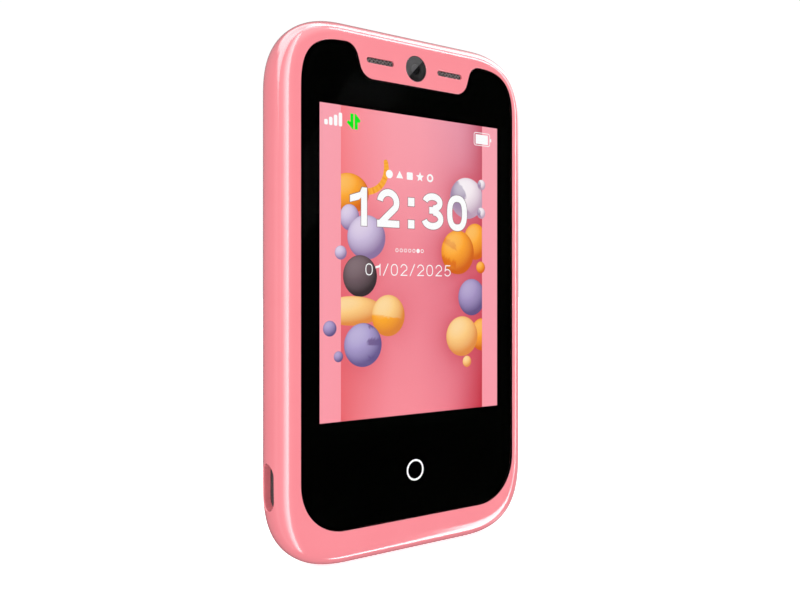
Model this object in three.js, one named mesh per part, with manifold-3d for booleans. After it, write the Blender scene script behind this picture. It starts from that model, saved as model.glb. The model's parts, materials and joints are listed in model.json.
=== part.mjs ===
// Toy cell phone: a small upright touch-screen handset for children.
// Millimetres, +Z up. The screen faces -Y, the back faces +Y, +X is the right side seen from
// the screen. Origin: centre of the body's bounding box.
import * as THREE from "three";
import { ParametricGeometry } from "three/addons/geometries/ParametricGeometry.js";
import { mergeVertices } from "three/addons/utils/BufferGeometryUtils.js";
import Module from "manifold-3d";

const wasm = await Module();
wasm.setup();

// ---------------------------------------------------------------- driving dimensions
// Body. Corners are superellipses: a radius and the power of the curve.
const BODY_W = 59.4; // X
const BODY_H = 100.2; // Z
const BODY_T = 10.6; // Y
const BODY_CORNER_TOP = { radius: 14.6, power: 2.5 };
const BODY_CORNER_BOTTOM = { radius: 16.4, power: 2.75 };
// Bullnoses from the widest line to each face: inward run, depth in Y, rows of facets.
const FRONT_ROUND = { run: 4.1, depth: 4.7, steps: 5 };
const REAR_ROUND = { run: 6.0, depth: 5.9, steps: 6 };
const ROUND_POWER = 2.15;
const CORNER_STEPS = 8; // segments in each superellipse corner

// Glass outline, notched at the top by a housing tab that carries the front camera.
const GLASS_HALF_W = 25.53;
const GLASS_TOP = 45.8;
const GLASS_BOTTOM = -43.2;
const GLASS_CORNER_TOP = { radius: 10.6, power: 3.1 };
const GLASS_CORNER_BOTTOM = { radius: 9.6, power: 2.12 };
const TAB_BOTTOM = 39.7;
const TAB_TOP_X = 14.2; // where the tab's flank would meet the glass's top edge
const TAB_FOOT_X = 12.31; // where the flank would meet the tab's lower edge
const NOTCH_R = 2.77; // rounding of the glass beside the tab
const TAB_R = 3.05; // rounding of the tab's own lower corners
const NOTCH_STEPS = 5;
const FIT = 0.1; // gap round each inset piece

// Layers in Y, front to back
const GLASS_T = 0.6;
const MASK_T = 0.1;
const TAPE_T = 0.15;
const FRONT_Y = -BODY_T / 2;
const BACK_Y = BODY_T / 2;
const WIDEST_Y = FRONT_Y + FRONT_ROUND.depth;
const MASK_Y = FRONT_Y + GLASS_T; // back of the glass
const TAPE_Y = MASK_Y + MASK_T;
const SEAT_Y = TAPE_Y + TAPE_T; // floor of the glass recess
const WALL_Y = -3.0; // inner face of the front wall
const FRAME_Y = -1.75; // ledge for the mid frame
const FRAME_BACK_Y = -1.15;
const BOARD_YS = [-0.95, -0.15];
const PART_Y = -0.13; // front of the parts that stand on the boards
const COVER_Y = 4.0; // inner face of the rear cover
const COVER_INSET = 3.5; // rear cover outline, inwards from the widest line

// Widest cavity inside the housing; frames and boards follow it at an inset.
const CAVITY = { halfW: 26.4, halfH: 46.8, radius: 12.2, power: 2.5 };
const BOARD_INSET = 0.8;

// Places shared between pieces; length and width are those of round-ended slots.
const SOUND_SLOT = { x: 8.43, z: 43.25, length: 6.3, width: 1.07 }; // one on each side
const SOUND_POCKET = { ...SOUND_SLOT, length: 7.6, width: 2.2 };
const CAM_Z = 43.22;
const CAM_R = 2.465;
const REAR_CAM = { x: 12.5, z: 36.5 };
const PORT = { y: -0.1, z: -34.55, length: 8.4, width: 4.2 }; // in the left side
const PORT_FLOOR_X = -BODY_W / 2 + 2.0; // back of the lip round the port's opening
const PORT_ROOM_GROW = 1.0; // the room behind the lip, larger than the opening
const MIC_X = -6;
const KEY_SLOT = { y: 0.4, length: 9.0, width: 2.1 }; // right side keys
const KEY_Z = { volume_up: 5.0, volume_down: -6.0, power: -18.0 };
const TRAY = { y: KEY_SLOT.y, z: 22.0, length: 14.6, width: 2.6 }; // card tray's outer end
const WALL_GROW = 0.3; // openings in the right wall, larger than what fills them
const DISPLAY = { halfW: 21.6, zs: [-23.4, 34.2] }; // window in the print
const HOME_Z = -34.2; // touch key under the glass
const BOSSES = [
  [22.4, 42.0],
  [-22.4, 42.0],
  [-22.4, -42.0],
  [22.4, -42.0],
];
const POSTS = [
  [-18.6, 39.4],
  [-16.0, -40.0],
];

const FAR = 60; // beyond the body on every axis
const THROUGH = [-FAR, FAR];

// ---------------------------------------------------------------- materials
const MATERIAL = {
  housing: { color: 0xfe949e, roughness: 0.22 },
  cover: { color: 0xfe949e, roughness: 0.24 },
  key: { color: 0xfe949e, roughness: 0.25 },
  screw: { color: 0xb9bbbf, roughness: 0.35, metalness: 1 },
  glass: { color: 0x0a0a0c, roughness: 0.03, transparent: true, opacity: 0.35 },
  print: { color: 0x020202, roughness: 0.5 },
  adhesive: { color: 0x161616, roughness: 0.8 },
  touchPad: { color: 0xc08a3c, roughness: 0.6 },
  lcd: { color: 0x1c1c20, roughness: 0.15 },
  backlight: { color: 0xf2f2ee, roughness: 0.5 },
  lcdFrame: { color: 0xb8bcc0, roughness: 0.35, metalness: 1 },
  flex: { color: 0xb8701c, roughness: 0.5 },
  frontLens: { color: 0x2a2a2c, roughness: 0.08 },
  frontCamera: { color: 0x101012, roughness: 0.35 },
  mesh: { color: 0x6d6a6a, roughness: 0.45, metalness: 0.8 },
  receiver: { color: 0x8f9296, roughness: 0.4, metalness: 0.8 },
  sensor: { color: 0x17402c, roughness: 0.5 },
  midFrame: { color: 0x26272a, roughness: 0.55, metalness: 0.3 },
  board: { color: 0x14402a, roughness: 0.45 },
  can: { color: 0xc3c6c9, roughness: 0.35, metalness: 1 },
  socket: { color: 0xb5b8bb, roughness: 0.35, metalness: 1 },
  card: { color: 0xf0f0ea, roughness: 0.4 },
  rearCamera: { color: 0x121214, roughness: 0.35 },
  cameraRing: { color: 0xc9a0a4, roughness: 0.25, metalness: 1 },
  rearLens: { color: 0x0b0b0d, roughness: 0.04 },
  tape: { color: 0xe8e4d6, roughness: 0.8 },
  battery: { color: 0x9fa3a8, roughness: 0.4, metalness: 0.5 },
  lead: { color: 0xd8d2c4, roughness: 0.6 },
  gasket: { color: 0x241d1e, roughness: 0.7 },
  portShell: { color: 0x8a8c90, roughness: 0.3, metalness: 1 },
  tongue: { color: 0x101010, roughness: 0.5 },
  microphone: { color: 0xb9a46a, roughness: 0.35, metalness: 1 },
  loudspeaker: { color: 0x1b1b1d, roughness: 0.6 },
  bracket: { color: 0xb5b8bb, roughness: 0.4, metalness: 1 },
  switch: { color: 0xc9ccd0, roughness: 0.4, metalness: 0.8 },
  plunger: { color: 0x2a2a2c, roughness: 0.5 },
  motor: { color: 0xb9bcc0, roughness: 0.35, metalness: 1 },
  shaft: { color: 0x9a9ca0, roughness: 0.3, metalness: 1 },
  weight: { color: 0x75777b, roughness: 0.35, metalness: 1 },
  antenna: { color: 0xc99a52, roughness: 0.45, metalness: 0.6 },
};

// ---------------------------------------------------------------- ranges and outlines
// A range is [low, high] along one axis.
const about = (centre, half) => [centre - half, centre + half];
const inset = ([low, high], distance) => [low + distance, high - distance];

// One superellipse corner, anticlockwise seen from the front (X right, Z up), with the
// outward normal at each point. sideX and sideZ are +1 or -1; edgeZ is the edge it meets.
function cornerPoints(halfW, edgeZ, { radius, power }, sideX, sideZ) {
  const points = [];
  for (let i = 0; i <= CORNER_STEPS; i++) {
    const angle = ((i / CORNER_STEPS) * Math.PI) / 2;
    const across = i === CORNER_STEPS ? 0 : Math.pow(Math.cos(angle), 2 / power);
    const up = Math.pow(Math.sin(angle), 2 / power);
    const normalX = Math.pow(across, power - 1);
    const normalZ = Math.pow(up, power - 1);
    const size = Math.hypot(normalX, normalZ);
    points.push({
      x: sideX * (halfW - radius + radius * across),
      z: edgeZ + sideZ * radius * (up - 1),
      normalX: (sideX * normalX) / size,
      normalZ: (sideZ * normalZ) / size,
    });
  }
  return sideX === sideZ ? points : points.reverse();
}

function roundedRing(halfW, top, bottom, topCorner, bottomCorner) {
  return [
    ...cornerPoints(halfW, top, topCorner, 1, 1),
    ...cornerPoints(halfW, top, topCorner, -1, 1),
    ...cornerPoints(halfW, bottom, bottomCorner, -1, -1),
    ...cornerPoints(halfW, bottom, bottomCorner, 1, -1),
  ];
}

const shapeOf = (points) => new THREE.Shape(points.map((p) => new THREE.Vector2(p.x, p.z)));

function cavityShape(distance = 0) {
  const { halfW, halfH, radius, power } = CAVITY;
  const corner = { radius: radius - distance, power };
  const top = halfH - distance;
  return shapeOf(roundedRing(halfW - distance, top, -top, corner, corner));
}

// The body's plan outline at its widest, moved inwards along its own normals.
function bodyRing(distance) {
  const half = BODY_H / 2;
  return roundedRing(BODY_W / 2, half, -half, BODY_CORNER_TOP, BODY_CORNER_BOTTOM).map((p) => ({
    x: p.x - p.normalX * distance,
    z: p.z - p.normalZ * distance,
  }));
}

function arcPoints(centre, radius, from, to) {
  const points = [];
  for (let i = 0; i <= NOTCH_STEPS; i++) {
    const angle = from + (i / NOTCH_STEPS) * (to - from);
    points.push({
      x: centre.x + radius * Math.cos(angle),
      z: centre.z + radius * Math.sin(angle),
    });
  }
  return points;
}

// Front glass outline with its whole edge, notch included, moved inwards.
function glassShape(distance) {
  const halfW = GLASS_HALF_W - distance;
  const top = GLASS_TOP - distance;
  const bottom = GLASS_BOTTOM + distance;
  const tabBottom = TAB_BOTTOM - distance;
  const shrink = ({ radius, power }) => ({ radius: radius - distance, power });
  const bottomCorner = shrink(GLASS_CORNER_BOTTOM);

  // unit direction up the tab's right flank; its normal into the glass is (flankZ, -flankX)
  const run = TAB_TOP_X - TAB_FOOT_X;
  const rise = GLASS_TOP - TAB_BOTTOM;
  const flankX = run / Math.hypot(run, rise);
  const flankZ = rise / Math.hypot(run, rise);
  const flankAt = (z) =>
    TAB_FOOT_X + flankZ * distance + ((z - TAB_BOTTOM + flankX * distance) * flankX) / flankZ;
  const normalAngle = Math.atan2(-flankX, flankZ);

  const notchR = NOTCH_R - distance;
  const tabR = TAB_R + distance;
  const tangent = Math.tan(Math.acos(-flankX) / 2); // of half the angle at the flank's ends
  const notchCentre = { x: flankAt(top) + notchR / tangent, z: top - notchR };
  const tabCentre = { x: flankAt(tabBottom) - tabR / tangent, z: tabBottom + tabR };

  // the corner's own curve runs straight into the rounding beside the tab
  const right = [
    ...cornerPoints(halfW, top, shrink(GLASS_CORNER_TOP), 1, 1).filter(
      (p) => p.x > notchCentre.x + 0.3,
    ),
    ...arcPoints(notchCentre, notchR, Math.PI / 2, normalAngle + Math.PI),
    ...arcPoints(tabCentre, tabR, normalAngle, -Math.PI / 2),
  ];
  return shapeOf([
    ...right,
    ...right.map((p) => ({ x: -p.x, z: p.z })).reverse(),
    ...cornerPoints(halfW, bottom, bottomCorner, -1, -1),
    ...cornerPoints(halfW, bottom, bottomCorner, 1, -1),
  ]);
}

// Slot with round ends, its length along the shape's own x, or y when upright.
function slotShape(x, y, length, width, upright) {
  const shape = new THREE.Shape();
  const radius = width / 2;
  const reach = length / 2 - radius;
  const reachX = upright ? 0 : reach;
  const reachY = upright ? reach : 0;
  const start = upright ? 0 : -Math.PI / 2;
  shape.absarc(x + reachX, y + reachY, radius, start, start + Math.PI, false);
  shape.absarc(x - reachX, y - reachY, radius, start + Math.PI, start + Math.PI * 2, false);
  return shape;
}

function roundRectShape([x0, x1], [z0, z1], radius) {
  const shape = new THREE.Shape();
  const centres = [
    [x1 - radius, z0 + radius],
    [x1 - radius, z1 - radius],
    [x0 + radius, z1 - radius],
    [x0 + radius, z0 + radius],
  ];
  centres.forEach(([x, z], i) => {
    shape.absarc(x, z, radius, ((i - 1) * Math.PI) / 2, (i * Math.PI) / 2, false);
  });
  return shape;
}

// The same outline as straight segments, with no point repeated.
function traced(shape, arcSteps) {
  const points = [];
  for (const p of shape.getPoints(arcSteps)) {
    const q = new THREE.Vector2(Math.round(p.x * 1e4) / 1e4, Math.round(p.y * 1e4) / 1e4);
    if (!points.length || points.at(-1).distanceTo(q) > 2e-3) points.push(q);
  }
  while (points.length > 3 && points[0].distanceTo(points.at(-1)) <= 2e-3) points.pop();
  return new THREE.Shape(points);
}

// ---------------------------------------------------------------- primitive forms
const extruded = (shape, depth, arcSteps) =>
  new THREE.ExtrudeGeometry(traced(shape, arcSteps), { depth, bevelEnabled: false });

// A flat shape in X and Z, made solid over a Y range.
const slab = (shape, [y0, y1], arcSteps) =>
  extruded(shape, y1 - y0, arcSteps)
    .rotateX(Math.PI / 2)
    .translate(0, y1, 0);

// A flat shape in Y and Z, made solid over an X range: shape x -> Y, y -> Z, depth -> X.
const slabX = (shape, [x0, x1], arcSteps) =>
  extruded(shape, x1 - x0, arcSteps).applyMatrix4(
    new THREE.Matrix4().set(0, 0, 1, x0, 1, 0, 0, 0, 0, 1, 0, 0, 0, 0, 0, 1),
  );

// Slots through Y (length along X) and through X (length along Z), enlarged by grow.
const slotY = ({ x, z, length, width }, grow, ys, arcSteps = 5) =>
  slab(slotShape(x, z, length + grow, width + grow, false), ys, arcSteps);
const slotX = ({ y, z, length, width }, grow, xs, arcSteps = 5) =>
  slabX(slotShape(y, z, length + grow, width + grow, true), xs, arcSteps);

const box = ([x0, x1], [y0, y1], [z0, z1]) =>
  new THREE.BoxGeometry(x1 - x0, y1 - y0, z1 - z0).translate(
    (x0 + x1) / 2,
    (y0 + y1) / 2,
    (z0 + z1) / 2,
  );

const cylY = (x, z, radius, [y0, y1], sides) =>
  new THREE.CylinderGeometry(radius, radius, y1 - y0, sides).translate(x, (y0 + y1) / 2, z);
const cylX = (y, z, radius, [x0, x1], sides) =>
  new THREE.CylinderGeometry(radius, radius, x1 - x0, sides)
    .rotateZ(Math.PI / 2)
    .translate((x0 + x1) / 2, y, z);
const cylZ = (x, y, radius, [z0, z1], sides) =>
  new THREE.CylinderGeometry(radius, radius, z1 - z0, sides)
    .rotateX(Math.PI / 2)
    .translate(x, y, (z0 + z1) / 2);

// Profile of [radius, y] turned about a Y axis.
const turned = (profile, x, z, sides) =>
  new THREE.LatheGeometry(
    profile.map(([radius, y]) => new THREE.Vector2(radius, y)),
    sides,
  ).translate(x, 0, z);

// ---------------------------------------------------------------- solids and meshes
// Closed three.js geometry to a solid that can be joined and cut.
function solid(geometry) {
  if (geometry instanceof wasm.Manifold) return geometry;
  const bare = geometry.index ? geometry.toNonIndexed() : geometry.clone();
  bare.deleteAttribute("normal");
  bare.deleteAttribute("uv");
  const merged = mergeVertices(bare, 1e-4);
  const index = merged.index.array;
  // outward triangles, or flipped; those that merging has collapsed are left out
  const make = (flip) => {
    const triangles = [];
    for (let i = 0; i < index.length; i += 3) {
      const [a, b, c] = index.slice(i, i + 3);
      if (a !== b && b !== c && a !== c) triangles.push(a, flip ? c : b, flip ? b : c);
    }
    return new wasm.Manifold(
      new wasm.Mesh({
        numProp: 3,
        vertProperties: new Float32Array(merged.attributes.position.array),
        triVerts: new Uint32Array(triangles),
      }),
    );
  };
  const made = make(false);
  return made.volume() < 0 ? make(true) : made;
}
const join = (first, ...rest) => rest.reduce((sum, next) => sum.add(solid(next)), solid(first));
const cut = (first, ...rest) => rest.reduce((left, next) => left.subtract(solid(next)), solid(first));
const common = (first, second) => solid(first).intersect(solid(second));

function geometryOf(shape) {
  const { numVert, numProp, vertProperties, triVerts } = shape.getMesh();
  const positions = new Float32Array(numVert * 3);
  for (let i = 0; i < numVert; i++)
    positions.set(vertProperties.subarray(i * numProp, i * numProp + 3), i * 3);
  const geometry = new THREE.BufferGeometry();
  geometry.setAttribute("position", new THREE.BufferAttribute(positions, 3));
  geometry.setIndex(new THREE.BufferAttribute(new Uint32Array(triVerts), 1));
  geometry.computeVertexNormals();
  return geometry;
}

const phone = new THREE.Group();
phone.name = "toy_cell_phone";

function add(name, shape, look) {
  const material = new THREE.MeshStandardMaterial(look);
  material.name = name + "_material";
  const mesh = new THREE.Mesh(geometryOf(solid(shape)), material);
  mesh.name = name;
  phone.add(mesh);
}

// ---------------------------------------------------------------- the body's outer form
// Plan rings drawn inwards through the two bullnoses, closed by a point on each face.
function bodyForm() {
  const bullnoseRow = (turn, round, side) => {
    const angle = (turn * Math.PI) / 2; // 0 at the face, a right angle at the widest line
    const inwards = round.run * (1 - Math.pow(Math.sin(angle), 2 / ROUND_POWER));
    const rise = round.depth * Math.pow(Math.cos(angle), 2 / ROUND_POWER);
    return { ring: bodyRing(inwards), y: WIDEST_Y + side * rise };
  };
  const rows = [{ y: FRONT_Y }];
  for (let i = 0; i <= FRONT_ROUND.steps; i++)
    rows.push(bullnoseRow(i / FRONT_ROUND.steps, FRONT_ROUND, -1));
  for (let i = 1; i <= REAR_ROUND.steps; i++)
    rows.push(bullnoseRow(1 - i / REAR_ROUND.steps, REAR_ROUND, 1));
  rows.push({ y: BACK_Y });

  const around = rows[1].ring.length;
  const along = rows.length - 1;
  const place = (u, v, target) => {
    const { ring, y } = rows[Math.round(v * along)];
    const { x, z } = ring ? ring[Math.round(u * around) % around] : { x: 0, z: 0 };
    target.set(x, y, z);
  };
  return new ParametricGeometry(place, around, along);
}
const body = solid(bodyForm());

// ---------------------------------------------------------------- front housing
function frontHousing() {
  let housing = cut(
    body,
    slab(glassShape(-FIT), [-FAR, SEAT_Y]), // glass recess
    box(about(0, 24.4), [SEAT_Y - 0.5, WALL_Y + 0.5], [-32.1, 37.0]), // display window
    box(about(0, 9.5), [-3.9, WALL_Y + 0.5], [-34.0, -31.9]), // room for the display's flex
    box(about(0, 11.95), [-4.3, WALL_Y + 0.5], [41.0, 45.9]), // bay behind the tab
    slab(cavityShape(1.0), [WALL_Y, FRAME_Y + 0.2]),
    slab(cavityShape(), [FRAME_Y, 3.0]),
    slab(cavityShape(1.4), [2.8, COVER_Y + 0.2]),
    slab(shapeOf(bodyRing(COVER_INSET - FIT)), [COVER_Y, FAR]), // rear cover opening
  );
  for (const side of [-1, 1]) {
    const x = side * SOUND_SLOT.x;
    housing = cut(
      housing,
      slotY({ ...SOUND_SLOT, x }, 0, [-FAR, -4.0]),
      slotY({ ...SOUND_POCKET, x }, 0, [-4.85, -4.0]),
    );
  }
  housing = cut(
    housing,
    cylY(0, CAM_Z, CAM_R + 0.085, [-FAR, -4.68], 24),
    cylY(0, CAM_Z, 2.0, [-5.0, -4.0], 16),
    slotX(PORT, 0, [-FAR, PORT_FLOOR_X + 0.2], 6),
    slotX(PORT, PORT_ROOM_GROW, [PORT_FLOOR_X, -26], 6),
    slotX(TRAY, WALL_GROW, [26, FAR]),
    cylZ(MIC_X, PORT.y, 0.5, [-FAR, -46], 10), // microphone hole in the bottom wall
    ...Object.values(KEY_Z).map((z) => slotX({ ...KEY_SLOT, z }, WALL_GROW, [26, FAR])),
  );
  for (const [x, z] of BOSSES) {
    housing = join(housing, cylY(x, z, 2.0, [WALL_Y - 0.3, 3.9], 16));
    housing = cut(housing, cylY(x, z, 0.8, [-1.5, 4.5], 10));
  }
  for (const [x, z] of POSTS) {
    housing = join(housing, cylY(x, z, 1.5, [WALL_Y - 0.3, -0.97], 12));
    housing = cut(housing, cylY(x, z, 0.72, [-3.2, 0], 10));
  }
  return housing;
}
add("front_housing", frontHousing(), MATERIAL.housing);

// ---------------------------------------------------------------- rear cover and its screws
const GRILLE = { x: 13, z: -37, pitch: 2.4 };
const HEAD_SEAT_Y = 4.5; // underside of the screw heads

function rearCover() {
  const outline = shapeOf(bodyRing(COVER_INSET));
  return cut(
    common(body, slab(outline, [COVER_Y, FAR])),
    ...BOSSES.flatMap(([x, z]) => [
      cylY(x, z, 1.55, [HEAD_SEAT_Y - 0.05, FAR], 16),
      cylY(x, z, 0.85, [3.5, 5], 10),
    ]),
    cylY(REAR_CAM.x, REAR_CAM.z, 4.9, [3.5, FAR], 28),
    ...[-1, 0, 1].map((k) =>
      slotY({ ...SOUND_SLOT, x: GRILLE.x, z: GRILLE.z + k * GRILLE.pitch }, 0, [3.5, FAR]),
    ),
  );
}
add("rear_cover", rearCover(), MATERIAL.cover);

// radius, y
const COVER_SCREW = [
  [0, 5.12], [1.2, 5.12], [1.4, 4.95], [1.4, HEAD_SEAT_Y],
  [0.7, HEAD_SEAT_Y], [0.7, -0.9], [0.45, -1.2], [0, -1.2],
];
const CROSS = { halfLength: 0.75, halfWidth: 0.16, ys: [4.8, 5.5] }; // driver recess
BOSSES.forEach(([x, z], i) => {
  const { halfLength, halfWidth, ys } = CROSS;
  const screw = cut(
    turned(COVER_SCREW, x, z, 14),
    box(about(x, halfLength), ys, about(z, halfWidth)),
    box(about(x, halfWidth), ys, about(z, halfLength)),
  );
  add("cover_screw_" + (i + 1), screw, MATERIAL.screw);
});

// ---------------------------------------------------------------- glass stack
add("cover_glass", slab(glassShape(0), [FRONT_Y, MASK_Y]), MATERIAL.glass);
add(
  "glass_mask",
  cut(slab(glassShape(0.05), [MASK_Y, TAPE_Y]), box(about(0, DISPLAY.halfW), THROUGH, DISPLAY.zs)),
  MATERIAL.print,
);
add(
  "glass_adhesive",
  cut(
    slab(glassShape(0.3), [TAPE_Y, SEAT_Y]),
    slab(roundRectShape(about(0, 24.4), [-37.4, 37.2], 1.0), THROUGH, 4),
  ),
  MATERIAL.adhesive,
);
const PAD_YS = [TAPE_Y + 0.02, SEAT_Y - 0.03];
add(
  "home_touch_pad",
  join(cylY(0, HOME_Z, 2.6, PAD_YS, 20), box(about(0, 1.2), PAD_YS, [HOME_Z - 3.1, HOME_Z])),
  MATERIAL.touchPad,
);

// ---------------------------------------------------------------- display module
const LCD_XS = about(0, 23.7);
const LCD_ZS = [-31.4, 36.3];
const LCD_FRAME_XS = about(0, 24.1);
const LCD_FRAME_ZS = [-31.85, 36.75];
const LCD_FRAME_WALL = 0.25;
add("lcd_panel", box(LCD_XS, [-4.4, -2.9], LCD_ZS), MATERIAL.lcd);
add("lcd_backlight", box(LCD_XS, [-2.88, -2.1], LCD_ZS), MATERIAL.backlight);
add(
  "lcd_frame",
  cut(
    box(LCD_FRAME_XS, [-3.9, -1.88], LCD_FRAME_ZS),
    box(inset(LCD_FRAME_XS, LCD_FRAME_WALL), [-FAR, -2.08], inset(LCD_FRAME_ZS, LCD_FRAME_WALL)),
    box(about(0, 8.5), [-3.5, -2.8], [-33, -31]), // way out for the flex
  ),
  MATERIAL.lcdFrame,
);

// The flex leaves the panel's lower ledge, folds back and lies on the sub board.
// y, z of its centre line
const FLEX_PATH = [
  [-3.1, -31.5], [-3.1, -32.7], [-2.7, -33.4],
  [-1.45, -33.7], [-1.04, -34.3], [-1.04, -39.5],
];
const FLEX_HALF_T = 0.06;

function lcdFlex() {
  const edge = (offset) =>
    FLEX_PATH.map(([y, z], i) => {
      const [y0, z0] = FLEX_PATH[Math.max(i - 1, 0)];
      const [y1, z1] = FLEX_PATH[Math.min(i + 1, FLEX_PATH.length - 1)];
      const scale = offset / Math.hypot(y1 - y0, z1 - z0);
      return new THREE.Vector2(y + (z1 - z0) * scale, z - (y1 - y0) * scale);
    });
  const outline = [...edge(FLEX_HALF_T), ...edge(-FLEX_HALF_T).reverse()];
  return slabX(new THREE.Shape(outline), about(0, 8));
}
add("lcd_flex", lcdFlex(), MATERIAL.flex);

// ---------------------------------------------------------------- behind the tab
const BAY_PART_BOTTOM = 41.1;
add("front_camera_window", cylY(0, CAM_Z, CAM_R, [FRONT_Y, -4.7], 32), MATERIAL.frontLens);
add(
  "front_camera_module",
  join(
    cylY(0, CAM_Z, 1.8, [-4.6, -3.3], 20),
    box(about(0, 3.2), [-3.4, -1.35], [BAY_PART_BOTTOM, 45.7]),
  ),
  MATERIAL.frontCamera,
);
for (const [side, sign] of [["left", -1], ["right", 1]]) {
  const place = { ...SOUND_POCKET, x: sign * SOUND_POCKET.x };
  add("earpiece_mesh_" + side, slotY(place, -0.3, [-4.83, -4.58]), MATERIAL.mesh);
}
const RECEIVER_MOUTH = { x: -SOUND_SLOT.x, z: SOUND_SLOT.z, length: 5.4, width: 1.6 };
add(
  "earpiece_receiver",
  cut(
    slab(roundRectShape([-11.8, -3.9], [BAY_PART_BOTTOM, 45.6], 1.2), [-4.2, -2.0], 3),
    slotY(RECEIVER_MOUTH, 0, [-4.3, -3.9], 4),
  ),
  MATERIAL.receiver,
);
add(
  "light_sensor",
  join(
    box([4.2, 11.8], [-3.4, -3.0], [BAY_PART_BOTTOM, 45.2]),
    box([7.0, 9.9], [-4.2, -3.3], about(SOUND_SLOT.z, 1.0)),
  ),
  MATERIAL.sensor,
);

// ---------------------------------------------------------------- mid frame
const postHoles = (posts, radius, sides) =>
  posts.map(([x, z]) => cylY(x, z, radius, THROUGH, sides));
add(
  "mid_frame",
  cut(
    common(
      slab(cavityShape(0.2), [FRAME_Y, FRAME_BACK_Y]),
      box(THROUGH, THROUGH, [-FAR, 39.9]),
    ),
    box([20.1, FAR], THROUGH, [-FAR, -39.7]), // clear of the lower bosses
    box([-FAR, -20.1], THROUGH, [-FAR, -39.7]),
    box(about(0, 10), THROUGH, [-41.5, -31.9]), // clear of the display's flex
    box([-FAR, -22.9], THROUGH, [-39.0, -30.2]), // clear of the port
    ...postHoles(POSTS, 1.7, 12),
  ),
  MATERIAL.midFrame,
);

// ---------------------------------------------------------------- main board
// The part of the common board outline that lies within the given ranges.
const boardPlate = (xs, zs) =>
  common(slab(cavityShape(BOARD_INSET), BOARD_YS), box(xs, THROUGH, zs));
add(
  "main_board",
  cut(
    boardPlate(THROUGH, [12.6, 45.4]),
    box([20.1, FAR], THROUGH, [39.7, FAR]),
    box([-FAR, -20.1], THROUGH, [39.7, FAR]),
    ...postHoles([POSTS[0]], 0.9, 10),
  ),
  MATERIAL.board,
);

// Thin-walled lid, open towards the board
const CAN_T = 0.2;
const CAN_BACK_Y = 1.3;
const can = (xs, zs) =>
  cut(
    box(xs, [PART_Y, CAN_BACK_Y], zs),
    box(inset(xs, CAN_T), [-FAR, CAN_BACK_Y - CAN_T], inset(zs, CAN_T)),
  );
add("shield_can_large", can([-22, 5.5], [18, 33]), MATERIAL.can);
add("shield_can_small", can([-14.5, 4.5], [35, 44]), MATERIAL.can);

// ---------------------------------------------------------------- card tray, slides out to +X
const CARD_POCKET_XS = [11.5, 20.5];
const CARD_POCKET_ZS = about(TRAY.z, 6.25);
add(
  "sim_socket",
  cut(
    box([9.5, 23.5], [-0.12, 1.33], about(TRAY.z, 7.2)),
    box([9.9, FAR], [0.08, 1.13], about(TRAY.z, 6.8)),
  ),
  MATERIAL.socket,
);

function simTray() {
  const plate = cut(
    box([10.6, 27.6], [0.14, 1.04], about(TRAY.z, 6.6)),
    box(CARD_POCKET_XS, [0.34, FAR], CARD_POCKET_ZS),
    box([12.8, 19.2], THROUGH, about(TRAY.z, 4.6)),
  );
  const head = common(body, slotX(TRAY, 0, [27.2, FAR]));
  return cut(join(plate, head), cylX(TRAY.y, TRAY.z - 5.3, 0.45, [26.9, FAR], 10));
}
add("sim_tray", simTray(), MATERIAL.key);
add(
  "sim_card",
  box(inset(CARD_POCKET_XS, FIT), [0.36, 1.01], inset(CARD_POCKET_ZS, FIT)),
  MATERIAL.card,
);

// ---------------------------------------------------------------- rear camera
// radius, y; closed
const CAMERA_RING = [
  [3.9, 4.6], [3.5, 4.6], [3.5, 3.6], [5.4, 3.6], [5.4, 3.95], [4.8, 3.95],
  [4.8, 5.2], [4.7, 5.3], [4.05, 5.3], [3.9, 5.15], [3.9, 4.6],
];
add(
  "rear_camera_module",
  join(
    box(about(REAR_CAM.x, 4.2), [-0.1, 3.2], about(REAR_CAM.z, 4.2)),
    cylY(REAR_CAM.x, REAR_CAM.z, 3.0, [3.0, 4.4], 24),
  ),
  MATERIAL.rearCamera,
);
add("rear_camera_ring", turned(CAMERA_RING, REAR_CAM.x, REAR_CAM.z, 28), MATERIAL.cameraRing);
add(
  "rear_camera_window",
  cylY(REAR_CAM.x, REAR_CAM.z, 3.82, [4.62, 5.12], 28),
  MATERIAL.rearLens,
);

// ---------------------------------------------------------------- battery
add("battery_tape", box(about(0, 16), [-1.13, -1.0], [-26, 9]), MATERIAL.tape);
add(
  "battery_pack",
  slab(roundRectShape(about(0, 18.8), [-28.5, 11.5], 1.6), [-0.98, 3.6], 4),
  MATERIAL.battery,
);
add(
  "battery_lead",
  join(
    box([-14, -10], [0.2, 0.55], [11.55, 15.0]),
    box([-14.7, -9.3], [PART_Y, 0.95], [14.6, 16.6]), // plug
  ),
  MATERIAL.lead,
);

// ---------------------------------------------------------------- sub board
add(
  "sub_board",
  cut(
    boardPlate([-FAR, 5.4], [-45.2, -30.6]),
    box([-FAR, -19.9], THROUGH, [-FAR, -39.4]),
    box([-FAR, -23.1], THROUGH, [-38.8, -30]),
    ...postHoles([POSTS[1]], 0.9, 10),
  ),
  MATERIAL.board,
);

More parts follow.
